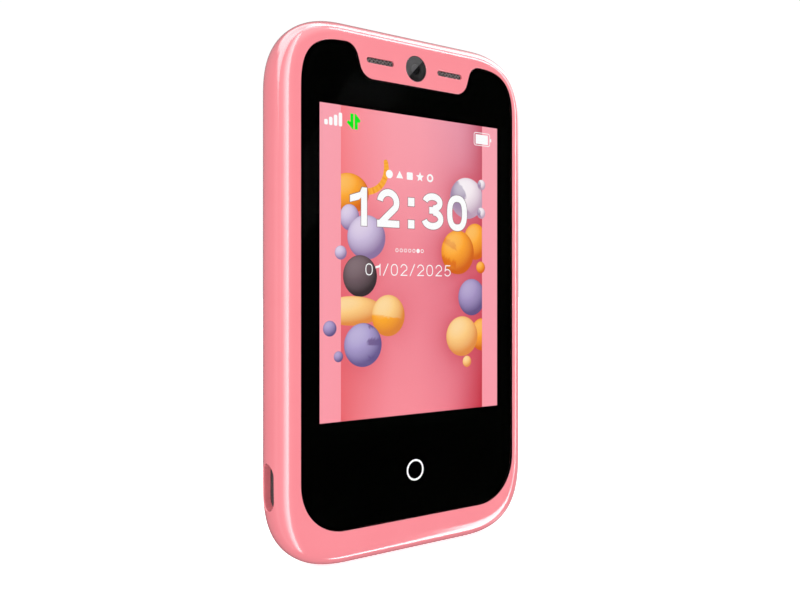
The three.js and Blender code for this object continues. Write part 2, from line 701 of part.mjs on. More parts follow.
// ---------------------------------------------------------------- charging socket, microphone
const MOUTH_X = PORT_FLOOR_X + 0.02; // outer end of the gasket
const SHELL = { ...PORT, length: 7.5, width: 2.85 };
const SHELL_BORE_GROW = -0.5;
add(
  "port_gasket",
  cut(
    slotX(PORT, PORT_ROOM_GROW - 2 * FIT, [MOUTH_X, -26.6], 6),
    slotX(SHELL, 2 * FIT, [-FAR, -26], 6),
  ),
  MATERIAL.gasket,
);
add(
  "port_shell",
  cut(slotX(SHELL, 0, [MOUTH_X + 0.1, -23.4], 6), slotX(SHELL, SHELL_BORE_GROW, [-FAR, -23], 6)),
  MATERIAL.portShell,
);
add(
  "port_tongue",
  join(
    slotX(SHELL, SHELL_BORE_GROW - 2 * FIT, [-24.6, -23.5], 6),
    box([-27.1, -24.5], about(PORT.y, 0.32), about(PORT.z, 2.6)),
  ),
  MATERIAL.tongue,
);
add(
  "microphone",
  cut(
    box(about(MIC_X, 1.8), [PART_Y, 0.95], [-44.6, -41.9]),
    cylY(MIC_X, -43.2, 0.4, [0.6, 1.5], 8),
  ),
  MATERIAL.microphone,
);

// ---------------------------------------------------------------- loudspeaker
const SPEAKER_XS = [6.2, 19.8];
const SPEAKER_ZS = [-42.8, -31.2];
const SPEAKER_RIM = 1.4;
const speakerRecess = roundRectShape(
  inset(SPEAKER_XS, SPEAKER_RIM),
  inset(SPEAKER_ZS, SPEAKER_RIM),
  1.6,
);
add(
  "loudspeaker",
  cut(
    slab(roundRectShape(SPEAKER_XS, SPEAKER_ZS, 2.0), [-0.9, 3.3], 4),
    slab(speakerRecess, [2.7, 4], 3),
  ),
  MATERIAL.loudspeaker,
);
add(
  "loudspeaker_mesh",
  slab(roundRectShape([8.6, 17.4], [-41.2, -32.8], 1.0), [3.72, 3.95], 3),
  MATERIAL.mesh,
);

// ---------------------------------------------------------------- flat cables
const CABLE_YS = [-1.11, -1.01];
add("board_flex", box([-22.6, -19.6], CABLE_YS, [-33.5, 15.5]), MATERIAL.flex);
add("side_key_flex", box([21.6, 24.6], CABLE_YS, [11.2, 17]), MATERIAL.flex);

// ---------------------------------------------------------------- side keys
const KEY_Y = KEY_SLOT.y;
const KEY_PROUD = 0.35;
const BRACKET_ZS = [-24, 11];
add("side_key_board", box([23.9, 24.5], about(KEY_Y, 1.4), inset(BRACKET_ZS, 1)), MATERIAL.board);
add(
  "key_bracket",
  join(
    box([23.3, 23.8], [-1.12, 2.4], BRACKET_ZS),
    box([20.4, 23.5], [-1.12, -0.82], BRACKET_ZS),
  ),
  MATERIAL.bracket,
);
for (const [key, z] of Object.entries(KEY_Z)) {
  // cap with round ends, and a flange that keeps it in the wall
  const cap = slotX({ ...KEY_SLOT, z }, 0, [26.2, BODY_W / 2 + KEY_PROUD]);
  const flange = box([25.95, 26.33], about(KEY_Y, 1.5), about(z, 5.0));
  add(key + "_key", join(flange, cap), MATERIAL.key);
  add(
    key + "_switch",
    cut(
      box([24.52, 25.4], about(KEY_Y, 1.1), about(z, 1.6)),
      cylX(KEY_Y, z, 0.65, [24.65, 26], 12),
    ),
    MATERIAL.switch,
  );
  add(key + "_plunger", cylX(KEY_Y, z, 0.5, [25.05, 25.9], 12), MATERIAL.plunger);
}

// ---------------------------------------------------------------- vibration motor, axis along Z
const MOTOR = { x: -23.0, y: 1.2 };
const motorCyl = (radius, zs, sides) => cylZ(MOTOR.x, MOTOR.y, radius, zs, sides);
add(
  "vibration_motor",
  cut(motorCyl(2.15, [-4, 5], 20), motorCyl(0.5, [-5, 4], 10)),
  MATERIAL.motor,
);
add("vibration_shaft", motorCyl(0.38, [-9.4, 3.6], 10), MATERIAL.shaft);

// Off-centre weight: a near half round with a narrower hub on its -Y side
function vibrationWeight() {
  const outline = new THREE.Shape();
  outline.absarc(0, 0, 2.1, Math.PI * 0.02, Math.PI * 0.98, false);
  outline.lineTo(-0.9, -0.75);
  outline.lineTo(0.9, -0.75);
  const block = extruded(outline, 3.5, 14).translate(MOTOR.x, MOTOR.y, -8.9);
  return cut(block, motorCyl(0.44, [-10, -4], 10));
}
add("vibration_weight", vibrationWeight(), MATERIAL.weight);

// ---------------------------------------------------------------- antennas on the end walls
const ANTENNA_YS = [-1.0, 2.6];
add("main_antenna", box([0, 13], ANTENNA_YS, [-46.65, -46.4]), MATERIAL.antenna);
add("wifi_antenna", box([-12, 4], ANTENNA_YS, [46.4, 46.65]), MATERIAL.antenna);

// ---------------------------------------------------------------- board screws
// radius, y
const BOARD_SCREW = [
  [0, 0.38], [1.1, 0.38], [1.25, 0.2], [1.25, PART_Y],
  [0.6, PART_Y], [0.6, -2.6], [0, -2.8],
];
POSTS.forEach(([x, z], i) => {
  add("board_screw_" + (i + 1), turned(BOARD_SCREW, x, z, 12), MATERIAL.screw);
});

export default phone;
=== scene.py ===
import json
import math

import bpy
import numpy as np
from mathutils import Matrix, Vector
from mathutils.bvhtree import BVHTree


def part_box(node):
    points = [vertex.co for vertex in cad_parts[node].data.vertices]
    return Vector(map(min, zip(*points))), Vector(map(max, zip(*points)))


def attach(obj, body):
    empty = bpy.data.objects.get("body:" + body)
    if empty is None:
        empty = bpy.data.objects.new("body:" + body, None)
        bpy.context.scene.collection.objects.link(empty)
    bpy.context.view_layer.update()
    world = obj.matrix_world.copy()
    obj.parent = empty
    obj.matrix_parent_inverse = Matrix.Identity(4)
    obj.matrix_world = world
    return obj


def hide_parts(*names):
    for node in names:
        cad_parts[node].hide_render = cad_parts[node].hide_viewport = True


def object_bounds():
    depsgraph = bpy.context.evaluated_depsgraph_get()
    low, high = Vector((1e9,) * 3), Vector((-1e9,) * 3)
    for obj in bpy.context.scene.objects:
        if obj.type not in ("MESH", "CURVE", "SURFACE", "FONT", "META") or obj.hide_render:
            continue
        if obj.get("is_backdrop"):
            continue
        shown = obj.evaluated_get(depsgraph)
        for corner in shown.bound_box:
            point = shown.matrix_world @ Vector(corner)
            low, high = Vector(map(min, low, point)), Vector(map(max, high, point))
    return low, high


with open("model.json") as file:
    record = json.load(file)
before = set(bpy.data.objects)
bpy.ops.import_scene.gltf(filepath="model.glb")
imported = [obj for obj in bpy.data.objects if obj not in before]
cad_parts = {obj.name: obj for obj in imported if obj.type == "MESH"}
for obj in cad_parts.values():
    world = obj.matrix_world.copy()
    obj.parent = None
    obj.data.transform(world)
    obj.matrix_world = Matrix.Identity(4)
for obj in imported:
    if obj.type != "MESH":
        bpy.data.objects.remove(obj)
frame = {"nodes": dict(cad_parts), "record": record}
CAD_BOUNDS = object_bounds()
MM = 0.001


def box(node):
    low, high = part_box(node)
    return np.array(low) / MM, np.array(high) / MM


def centre(node):
    return sum(box(node)) / 2


# ---- places, from the frame
housing_low, housing_high = box("front_housing")
cover_low, cover_high = box("rear_cover")
glass_low, glass_high = box("cover_glass")
HALF_WIDTH, HALF_HEIGHT = housing_high[0], housing_high[2]
FRONT_Y, BACK_Y = housing_low[1], cover_high[1]
COVER_IN = cover_low[1]
COVER_INSET = HALF_WIDTH - cover_high[0]
GLASS_BACK = glass_high[1]
MASK_BACK = box("glass_mask")[1][1]
SEAT_Y = box("glass_adhesive")[1][1]
GLASS_HALF, GLASS_TOP, GLASS_BOTTOM = glass_high[0], glass_high[2], glass_low[2]

# ---- the shell's form
CORNER_TOP = (14.6, 2.5)  # plan corner: radius, superellipse power
CORNER_BOTTOM = (16.4, 2.75)
FRONT_IN, FRONT_DEEP = 4.1, 4.7  # the front rounding, in plan and in Y
REAR_IN, REAR_DEEP = 6.0, 5.9
ROUND_POWER = 2.15
WIDEST_Y = FRONT_Y + FRONT_DEEP


# ---- outlines
def even_quarter(power, steps, samples, scale_u=1.0, scale_w=1.0):
    """Quarter superellipse, u from 1 to 0 and w from 0 to 1, in equal steps along its length."""
    angle = np.linspace(0, math.pi / 2, samples)
    u = np.maximum(np.cos(angle), 0) ** (2 / power)
    w = np.maximum(np.sin(angle), 0) ** (2 / power)
    u[-1] = 0
    w[0] = 0
    run = np.concatenate([[0], np.cumsum(np.hypot(np.diff(u) * scale_u, np.diff(w) * scale_w))])
    even = np.linspace(0, run[-1], steps + 1)
    return np.interp(even, run, u), np.interp(even, run, w)


def superellipse_corner(x, z, radius, power, steps):
    """Rounds the sharp corner at (x, z), from its side to its end; columns x, z and the normal."""
    sx, sz = math.copysign(1, x), math.copysign(1, z)
    u, w = even_quarter(power, steps, 4001)
    nu, nw = u ** (power - 1), w ** (power - 1)
    length = np.hypot(nu, nw)
    px, pz = x - sx * radius + sx * radius * u, z - sz * radius + sz * radius * w
    return np.stack([px, pz, sx * nu / length, sz * nw / length], 1)


def offset(outline, distance):
    """Moves an anticlockwise outline outwards."""
    tangent = np.roll(outline, -1, 0) - np.roll(outline, 1, 0)
    normal = np.stack([tangent[:, 1], -tangent[:, 0]], 1)
    return outline + normal / np.linalg.norm(normal, axis=1)[:, None] * distance


def stadium(cx, cy, long, wide, along="x", seg=20):
    """Slot outline with round ends, anticlockwise; along is x or y for its first or second axis."""
    r, reach = wide / 2, long / 2 - wide / 2
    a = np.linspace(-math.pi / 2, math.pi / 2, seg + 1)
    right = np.stack([reach + r * np.cos(a), r * np.sin(a)], 1)
    points = np.concatenate([right, -right])
    if along == "y":
        points = np.stack([-points[:, 1], points[:, 0]], 1)
    return points + np.array([cx, cy])


def circle(cx, cy, r, seg=64):
    a = np.linspace(0, 2 * math.pi, seg, endpoint=False)
    return np.stack([cx + r * np.cos(a), cy + r * np.sin(a)], 1)


def round_rect(x0, x1, z0, z1, r, seg=8):
    out = []
    for cx, cz, start in (
        (x1 - r, z0 + r, -90), (x1 - r, z1 - r, 0), (x0 + r, z1 - r, 90), (x0 + r, z0 + r, 180)
    ):
        a = np.radians(np.linspace(start, start + 90, seg + 1))
        out.append(np.stack([cx + r * np.cos(a), cz + r * np.sin(a)], 1))
    return np.concatenate(out)


def fillet(r, steps=4):
    """(outward offset, depth) of a hole's rounded edge, from the face down to the wall."""
    angles = [math.pi / 2 * i / steps for i in range(steps + 1)]
    return [(r * (1 - math.sin(a)), r * (1 - math.cos(a))) for a in angles]


def hole_rows(face, radius, end, before=1, steps=4):
    """Rows of a cutter that starts before a face, rounds its edge and runs on to end."""
    rounded = [(out, face + depth) for out, depth in fillet(radius, steps)]
    return [(radius, face - before)] + rounded + [(0, end)]


def bend(start, corner, end, steps=4):
    """Points of a rounded edge from start to end round a corner."""
    out = []
    for i in range(steps + 1):
        t = i / steps
        parts = zip(start, corner, end)
        out.append(tuple((1 - t) ** 2 * a + 2 * t * (1 - t) * b + t * t * c for a, b, c in parts))
    return out


# ---- meshes
def new_object(name, verts, faces):
    mesh = bpy.data.meshes.new(name)
    mesh.from_pydata([tuple(v) for v in np.asarray(verts, float) * MM], [], faces)
    mesh.validate()
    obj = bpy.data.objects.new(name, mesh)
    bpy.context.scene.collection.objects.link(obj)
    return obj


def face_out(obj):
    """Turns a closed mesh's faces outwards."""
    mesh = obj.data
    mesh.calc_loop_triangles()
    v = np.array([x.co for x in mesh.vertices], float)
    t = np.array([x.vertices[:] for x in mesh.loop_triangles])
    if np.einsum("ij,ij->i", v[t[:, 0]], np.cross(v[t[:, 1]], v[t[:, 2]])).sum() < 0:
        mesh.flip_normals()
    return obj


def loft(name, rings):
    """Rings of the same number of points joined in order, with flat ends."""
    n, m = len(rings[0]), len(rings)
    faces = []
    for a in range(0, (m - 1) * n, n):
        b = a + n
        for i in range(n):
            j = (i + 1) % n
            faces.append((a + i, a + j, b + j, b + i))
    faces.append(tuple(range(n - 1, -1, -1)))
    faces.append(tuple(range((m - 1) * n, m * n)))
    return face_out(new_object(name, np.concatenate(rings), faces))


def ring_x(points, x):
    return np.stack([np.zeros(len(points)) + x, points[:, 0], points[:, 1]], 1)


def ring_y(points, y):
    return np.stack([points[:, 0], np.zeros(len(points)) + y, points[:, 1]], 1)


def prism_x(name, outline, rows):
    """outline in Y and Z; rows of (outward offset, x)."""
    return loft(name, [ring_x(offset(outline, out), x) for out, x in rows])


def prism_y(name, outline, rows):
    """outline in X and Z; rows of (outward offset, y)."""
    return loft(name, [ring_y(offset(outline, out), y) for out, y in rows])


def block_y(name, outline, start, end):
    return prism_y(name, outline, [(0, start), (0, end)])


def lathe_y(name, cx, cz, profile, seg=64):
    """Profile of (radius, y), closed on the axis or on itself."""
    a = np.linspace(0, 2 * math.pi, seg, endpoint=False)
    turns = list(zip(np.cos(a), np.sin(a)))
    verts, faces, ids = [], [], []
    for r, y in profile:
        if r < 1e-6:
            ids.append([len(verts)] * seg)
            verts.append((cx, y, cz))
        else:
            ids.append(list(range(len(verts), len(verts) + seg)))
            verts += [(cx + r * c, y, cz + r * s) for c, s in turns]
    closed = profile[0][0] > 1e-6
    m = len(profile)
    for k in range(m if closed else m - 1):
        here, there = ids[k], ids[(k + 1) % m]
        for i in range(seg):
            j = (i + 1) % seg
            face = tuple(dict.fromkeys((here[i], here[j], there[j], there[i])))
            if len(face) > 2:
                faces.append(face)
    return face_out(new_object(name, verts, faces))


def joined(name, objects):
    """One object out of several meshes."""
    verts, faces, count = [], [], 0
    for obj in objects:
        v = np.array([x.co for x in obj.data.vertices], float)
        verts.append(v / MM)
        faces += [tuple(i + count for i in p.vertices) for p in obj.data.polygons]
        count += len(v)
        bpy.data.objects.remove(obj)
    return new_object(name, np.concatenate(verts), faces)


def set_evaluated(obj):
    """Replaces an object's mesh by the result of its modifiers."""
    graph = bpy.context.evaluated_depsgraph_get()
    mesh = bpy.data.meshes.new_from_object(obj.evaluated_get(graph), depsgraph=graph)
    obj.modifiers.clear()
    obj.data = mesh
    mesh.name = obj.name
    return mesh


def smooth(mesh, angle):
    mesh.shade_smooth()
    mesh.set_sharp_from_angle(angle=math.radians(angle))


def shade(obj, angle=32):
    """Smooth shading stored as normals, with sharp edges kept and large faces left flat."""
    smooth(obj.data, angle)
    weighted = obj.modifiers.new("weighted", "WEIGHTED_NORMAL")
    weighted.mode = "FACE_AREA"
    weighted.keep_sharp = True
    set_evaluated(obj)
    return obj


def fetch(items, field, width=1, kind=float):
    data = np.zeros(len(items) * width, kind)
    items.foreach_get(field, data)
    return data.reshape(-1, width) if width > 1 else data


class Surface:
    """A shaded mesh's surface, to look up its normals after it was cut."""

    def __init__(self, obj, flip=False):
        mesh = obj.data
        mesh.calc_loop_triangles()
        sign = -1 if flip else 1
        self.points = fetch(mesh.vertices, "co", 3)
        self.tris = fetch(mesh.loop_triangles, "vertices", 3, int)
        loops = fetch(mesh.loop_triangles, "loops", 3, int)
        corner = np.array([x.vector for x in mesh.corner_normals], float)
        self.corner_normals = corner[loops.ravel()].reshape(-1, 3, 3) * sign
        a, b, c = (self.points[self.tris[:, k]] for k in range(3))
        cross = np.cross(b - a, c - a)
        length = np.linalg.norm(cross, axis=1)
        length[length == 0] = 1
        self.face_normals = cross / length[:, None] * sign
        self.tree = BVHTree.FromPolygons(
            [Vector(x) for x in self.points], [tuple(int(i) for i in x) for x in self.tris]
        )

    def near(self, points):
        """Triangle under each point, or -1."""
        found = [self.tree.find_nearest(p, 2e-6)[2] for p in points]
        return np.array([-1 if i is None else i for i in found])

    def normals(self, points, index):
        """Corner normals of the triangles index, interpolated at the points."""
        a, b, c = (self.points[self.tris[index, k]] for k in range(3))
        v0, v1, v2 = b - a, c - a, points - a
        d00 = (v0 * v0).sum(1)
        d01 = (v0 * v1).sum(1)
        d11 = (v1 * v1).sum(1)
        d20 = (v2 * v0).sum(1)
        d21 = (v2 * v1).sum(1)
        den = d00 * d11 - d01 * d01
        den[np.abs(den) < 1e-30] = 1e-30
        w1 = (d11 * d20 - d01 * d21) / den
        w2 = (d00 * d21 - d01 * d20) / den
        w = np.clip(np.stack([1 - w1 - w2, w1, w2], 1), 0, 1)
        w /= w.sum(1)[:, None]
        out = (self.corner_normals[index] * w[:, :, None]).sum(1)
        return out / np.linalg.norm(out, axis=1)[:, None]


def carve(obj, cuts=(), joins=(), angle=32):
    """Joins and cuts closed meshes, and keeps the normals of the surfaces they came from."""
    shade(obj, angle)
    sources = [Surface(obj)]
    for operation, tools in (("UNION", joins), ("DIFFERENCE", cuts)):
        for tool in tools:
            shade(tool, angle)
            sources.append(Surface(tool, flip=operation == "DIFFERENCE"))
            boolean = obj.modifiers.new("b", "BOOLEAN")
            boolean.operation = operation
            boolean.solver = "MANIFOLD"
            boolean.object = tool
    mesh = set_evaluated(obj)
    for tool in (*joins, *cuts):
        bpy.data.objects.remove(tool)
    smooth(mesh, angle)
    corner = fetch(mesh.vertices, "co", 3)[fetch(mesh.loops, "vertex_index", kind=int)]
    totals = fetch(mesh.polygons, "loop_total", kind=int)
    loop_face = np.repeat(np.arange(len(totals)), totals)
    middle = fetch(mesh.polygons, "center", 3)[loop_face]
    facing = fetch(mesh.polygons, "normal", 3)[loop_face]
    out = np.array([x.vector for x in mesh.corner_normals], float)
    # a point a little inside each corner of each face
    inner = corner + (middle - corner) * 0.02
    done = np.zeros(len(corner), bool)
    for source in sources:
        left = np.where(~done)[0]
        if not len(left):
            break
        index = source.near(inner[left])
        ok = index >= 0
        ok[ok] = (source.face_normals[index[ok]] * facing[left[ok]]).sum(1) > 0.95
        if ok.any():
            at = left[ok]
            out[at] = source.normals(corner[at], index[ok])
            done[at] = True
    mesh.normals_split_custom_set([tuple(x) for x in out])
    return obj


def piece(obj, material, replaced=None, body="phone_body"):
    """Paints an object and hands it to the frame."""
    obj.data.materials.clear()
    obj.data.materials.append(material.material)
    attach(obj, body)
    if replaced:
        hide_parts(replaced)


# ---- shader nodes
class Value:
    """A node's output; arithmetic on it adds math nodes."""

    def __init__(self, nodes, socket):
        self.nodes = nodes
        self.socket = socket

    def __add__(self, other):
        return self.nodes.math("ADD", self, other)

    def __sub__(self, other):
        return self.nodes.math("SUBTRACT", self, other)

    def __rsub__(self, other):
        return self.nodes.math("SUBTRACT", other, self)

    def __mul__(self, other):
        return self.nodes.math("MULTIPLY", self, other)

    def __truediv__(self, other):
        return self.nodes.math("DIVIDE", self, other)


class Nodes:
    def __init__(self, tree):
        self.tree = tree
        self.coord = None

    def put(self, socket, value):
        if isinstance(value, Value):
            self.tree.links.new(value.socket, socket)
        else:
            socket.default_value = value

    def new(self, kind, inputs, **properties):
        node = self.tree.nodes.new(kind)
        for key, value in properties.items():
            setattr(node, key, value)
        for key, value in inputs.items():
            self.put(node.inputs[key], value)
        return node

    def make(self, kind, inputs, output=0, **properties):
        """Adds a node and returns one of its outputs."""
        return Value(self, self.new(kind, inputs, **properties).outputs[output])

    def math(self, operation, *values):
        return self.make("ShaderNodeMath", dict(enumerate(values)), operation=operation)

    def ramp(self, value, over, to=(0.0, 1.0), kind="SMOOTHSTEP"):
        """Maps the range over onto the range to."""
        limits = {"From Min": over[0], "From Max": over[1], "To Min": to[0], "To Max": to[1]}
        inputs = {"Value": value, **limits}
        return self.make("ShaderNodeMapRange", inputs, "Result", interpolation_type=kind)

    def band(self, value, rise, fall):
        """1 between the end of rise and the start of fall, fading to 0 outside."""
        return self.ramp(value, over=rise) * self.ramp(value, over=fall, to=(1.0, 0.0))

    def curve(self, value, points):
        """Piecewise linear curve through (input, output) points with outputs of 0 or more."""
        xs, ys = zip(*points)
        top, span = max(ys), xs[-1] - xs[0]
        position = self.ramp(value, over=(xs[0], xs[-1]), kind="LINEAR")
        node = self.new("ShaderNodeValToRGB", {0: position})
        elements = node.color_ramp.elements
        elements[0].position = 0.0
        elements[1].position = 1.0
        for x in xs[1:-1]:
            elements.new((x - xs[0]) / span)
        for element, y in zip(elements, ys):
            element.color = (y / top, y / top, y / top, 1.0)
        return Value(self, node.outputs[0]) * top

    def object_coord(self):
        if self.coord is None:
            self.coord = self.make("ShaderNodeTexCoord", {}, "Object")
        return self.coord

    def xyz(self, vector=None):
        node = self.new("ShaderNodeSeparateXYZ", {0: vector or self.object_coord()})
        return [Value(self, socket) for socket in node.outputs]

    def noise(self, scale, detail=3.0, roughness=0.5, vector=None, distortion=0.0):
        inputs = {"Vector": vector or self.object_coord(), "Scale": scale, "Detail": detail}
        inputs.update({"Roughness": roughness, "Distortion": distortion})
        return self.make("ShaderNodeTexNoise", inputs, "Fac")

    def voronoi(self, scale):
        inputs = {"Vector": self.object_coord(), "Scale": scale}
        return self.make("ShaderNodeTexVoronoi", inputs, "Distance")

    def scaled(self, scale):
        return self.make("ShaderNodeMapping", {"Vector": self.object_coord(), "Scale": scale})

    def mix(self, factor, a, b, blend="MIX"):
        inputs = {0: factor, 6: a, 7: b}
        return self.make("ShaderNodeMix", inputs, 2, data_type="RGBA", blend_type=blend)

    def choose(self, factor, a, b):
        """Mix of two plain numbers."""
        return self.make("ShaderNodeMix", {0: factor, 2: a, 3: b}, data_type="FLOAT")

    def blend(self, value, dark, light, over=(0.3, 0.7)):
        return self.mix(self.ramp(value, over=over), dark, light)

    def tones(self, scale, dark, light, **noise):
        """Two colours clouded by noise."""
        return self.blend(self.noise(scale, **noise), dark, light)

    def mottle(self, scale, to, over=(0.3, 0.7), **noise):
        """A number that noise varies over a range."""
        return self.ramp(self.noise(scale, **noise), over=over, to=to)

    def bump(self, height, strength, depth):
        inputs = {"Strength": strength, "Distance": depth * MM, "Height": height}
        return self.make("ShaderNodeBump", inputs)

    def grain(self, scale, strength, depth, detail=2.0):
        return self.bump(self.noise(scale, detail=detail), strength=strength, depth=depth)


class Material(Nodes):
    """A new material; shader inputs are named with underscores for spaces."""

    def __init__(self, name, **inputs):
        self.material = bpy.data.materials.new(name)
        self.material.use_nodes = True
        super().__init__(self.material.node_tree)
        self.shader = self.tree.nodes["Principled BSDF"]
        self.set(**inputs)

    def set(self, **inputs):
        for name, value in inputs.items():
            self.put(self.shader.inputs[name.replace("_", " ")], value)


def rgb(r, g, b):
    return (r, g, b, 1.0)


def grey(level):
    return rgb(level, level, level)


def srgb(*levels):
    """A colour given as 0 to 255 display values, made linear."""
    parts = [c / 255 for c in levels]
    return rgb(*(c / 12.92 if c <= 0.04045 else ((c + 0.055) / 1.055) ** 2.4 for c in parts))


# ---- families of materials
def pink_plastic(name, rough=0.12, coat=0.7):
    """Glossy moulded shell: faint pigment clouds, fine gloss variation, shallow orange peel."""
    mat = Material(name, IOR=1.46, Coat_Weight=coat, Coat_IOR=1.5)
    base = mat.tones(
        90.0, rgb(0.945, 0.262, 0.302), rgb(0.955, 0.275, 0.316), detail=4.0, roughness=0.55
    )
    speck = mat.mottle(2600.0, detail=2.0, over=(0.62, 0.85), to=(0.0, 0.05))
    mat.set(
        Base_Color=mat.mix(speck, base, rgb(0.97, 0.33, 0.37)),
        Roughness=mat.mottle(
            400.0, detail=5.0, roughness=0.6, over=(0.25, 0.75), to=(rough - 0.03, rough + 0.04)
        ),
        Coat_Roughness=mat.mottle(700.0, roughness=0.6, over=(0.3, 0.8), to=(0.025, 0.05)),
    )
    peel = mat.noise(900.0, detail=2.0, roughness=0.4)
    fine = mat.noise(6000.0, detail=2.0)
    height = peel * 1.0 + fine * 0.12  # shares of the peel and of the fine grain
    mat.set(
        Normal=mat.bump(height, strength=0.08, depth=0.0006),
        Coat_Normal=mat.bump(peel, strength=0.05, depth=0.0004),
    )
    return mat


def moulded(name, color, rough, spread=0.08, grain=1800.0, depth=0.006, coat=0.0):
    """Moulded plastic or rubber with a fine etched grain; spread is how far its tone varies."""
    mat = Material(name, Coat_Weight=coat, Coat_Roughness=0.08)
    dark = rgb(*(c * (1 - spread) for c in color))
    light = rgb(*(min(c * (1 + spread), 1) for c in color))
    gloss = (max(rough - 0.08, 0.02), min(rough + 0.1, 1))
    mat.set(
        Base_Color=mat.tones(120.0, dark, light, detail=4.0, roughness=0.6),
        Roughness=mat.mottle(700.0, detail=4.0, roughness=0.6, to=gloss),
        Normal=mat.bump(mat.voronoi(grain), strength=0.5, depth=depth),
    )
    return mat


def brushed_metal(name, color, rough=0.3, along="x", stretch=40.0, scratch=0.25):
    """Metal with fine lines drawn along an axis, faint stains and gloss variation."""
    mat = Material(name, Metallic=1.0)
    stretched = tuple(1 if axis == along else stretch for axis in "xyz")
    lines = mat.noise(160.0, detail=4.0, roughness=0.65, vector=mat.scaled(stretched))
    stain = mat.noise(220.0, detail=4.0, roughness=0.6)
    r, g, b = color
    stained = rgb(r * 0.82, g * 0.82, b * 0.83)
    mat.set(
        Base_Color=mat.blend(stain, rgb(r, g, b), stained, over=(0.3, 0.75)),
        Roughness=mat.ramp(lines, over=(0.25, 0.75), to=(rough - 0.06, rough + 0.12)),
        Normal=mat.bump(lines, strength=scratch, depth=0.004),
    )
    return mat


def clear_glass(name, tint, ior, **smear):
    mat = Material(name, Base_Color=tint, Transmission_Weight=1.0, IOR=ior)
    mat.set(Roughness=mat.mottle(**smear))
    return mat


def circuit_board():
    """Green solder mask with copper tracks and pads showing through."""
    mat = Material("circuit_board")
    x = mat.xyz()[0]
    grid = mat.voronoi(420.0)
    waver = mat.noise(60.0, detail=0.0) * 0.012  # sideways wander of the tracks
    tracks = mat.math("GREATER_THAN", mat.math("SINE", (x + waver) * 5200.0), 0.55)
    pads = mat.math("LESS_THAN", grid, 0.16)
    base = mat.tones(150.0, rgb(0.006, 0.058, 0.026), rgb(0.010, 0.085, 0.036))
    base = mat.mix(tracks * 0.5, base, rgb(0.018, 0.150, 0.050))
    mat.set(
        Base_Color=mat.mix(pads, base, rgb(0.62, 0.47, 0.20)),
        Metallic=pads,
        Roughness=mat.mottle(900.0, to=(0.28, 0.45)),
        Normal=mat.bump(tracks + pads * -0.6, strength=0.4, depth=0.02),
    )
    return mat


def flex_film():
    """Amber film with copper tracks under it."""
    mat = Material("flex_film")
    tracks = mat.math("GREATER_THAN", mat.math("SINE", mat.xyz()[0] * 9000.0), 0.0)
    base = mat.tones(200.0, rgb(0.36, 0.12, 0.012), rgb(0.46, 0.17, 0.02))
    mat.set(
        Base_Color=mat.mix(tracks * 0.45, base, rgb(0.62, 0.28, 0.06)),
        Roughness=mat.mottle(800.0, to=(0.3, 0.5)),
        Normal=mat.bump(tracks, strength=0.4, depth=0.01),
    )
    return mat


def battery_foil():
    """Laminated foil pouch with a soft crinkle."""
    mat = Material("battery_foil", Metallic=0.85)
    crinkle = mat.noise(160.0, detail=6.0, roughness=0.6, distortion=0.4)
    mat.set(
        Base_Color=mat.blend(crinkle, rgb(0.50, 0.52, 0.55), rgb(0.60, 0.62, 0.65)),
        Roughness=mat.mottle(500.0, detail=4.0, to=(0.28, 0.48)),
        Normal=mat.bump(crinkle, strength=0.5, depth=0.05),
    )
    return mat


# ---- the shell's outer surface
RING = np.concatenate(
    [
        superellipse_corner(sx * HALF_WIDTH, sz * HALF_HEIGHT, *size, 40)[::order]
        for sx, sz, size, order in (
            (1, 1, CORNER_TOP, 1), (-1, 1, CORNER_TOP, -1),
            (-1, -1, CORNER_BOTTOM, 1), (1, -1, CORNER_BOTTOM, -1),
        )
    ]
)  # anticlockwise seen from the screen side


def inset_loft(name, rows):
    """Lofts the shell's plan outline through rows of (inset, y)."""
    return loft(name, [ring_y(RING[:, :2] - RING[:, 2:] * inset, y) for inset, y in rows])


def rear_y(inset):
    """Y of the rear rounding where the plan outline is moved in by inset."""
    u = 1 - min(inset, REAR_IN) / REAR_IN
    return WIDEST_Y + REAR_DEEP * (1 - u**ROUND_POWER) ** (1 / ROUND_POWER)


def rounding_rows(front_steps, rear_steps, rear_stop=math.inf):
    """(inset, y) down the shell's side from the front; the rear ends short of rear_stop."""
    u, w = even_quarter(ROUND_POWER, front_steps, 3001, FRONT_DEEP, FRONT_IN)
    rows = [(FRONT_IN * (1 - b), WIDEST_Y - FRONT_DEEP * a) for a, b in zip(u, w)]
    u, w = even_quarter(ROUND_POWER, rear_steps, 3001, REAR_DEEP, REAR_IN)
    for a, b in list(zip(u, w))[::-1][1:]:
        if REAR_IN * (1 - b) > rear_stop - 0.05:
            break
        rows.append((REAR_IN * (1 - b), WIDEST_Y + REAR_DEEP * a))
    return rows


# plain outer form, for finding where its surface is
form = inset_loft("form", rounding_rows(20, 20))
form_tree = Surface(shade(form)).tree
bpy.data.objects.remove(form)


def side_x(outline, sign):
    """The shell's outer X at each (Y, Z)."""
    out = []
    for y, z in outline:
        origin = Vector((sign * 0.05, y * MM, z * MM))
        hit = form_tree.ray_cast(origin, Vector((-sign, 0, 0)))[0]
        out.append(hit.x / MM if hit else sign * HALF_WIDTH)
    return np.array(out)


def lower_z(outline):
    """The shell's lower Z at each (X, Y)."""
    out = []
    for x, y in outline:
        hit = form_tree.ray_cast(Vector((x * MM, y * MM, -0.08)), Vector((0, 0, 1)))[0]
        out.append(hit.z / MM if hit else -HALF_HEIGHT)
    return np.array(out)


def prism_side(name, outline, rows, sign, end):
    """outline in Y and Z on a side; rows of (outward offset, depth under the surface)."""
    rings = [ring_x(offset(outline, rows[0][0]), sign * (HALF_WIDTH + 1.5))]
    for out, depth in rows:
        points = offset(outline, out)
        rings.append(ring_x(points, side_x(points, sign) - sign * depth))
    rings.append(ring_x(offset(outline, rows[-1][0]), end))
    return loft(name, rings)


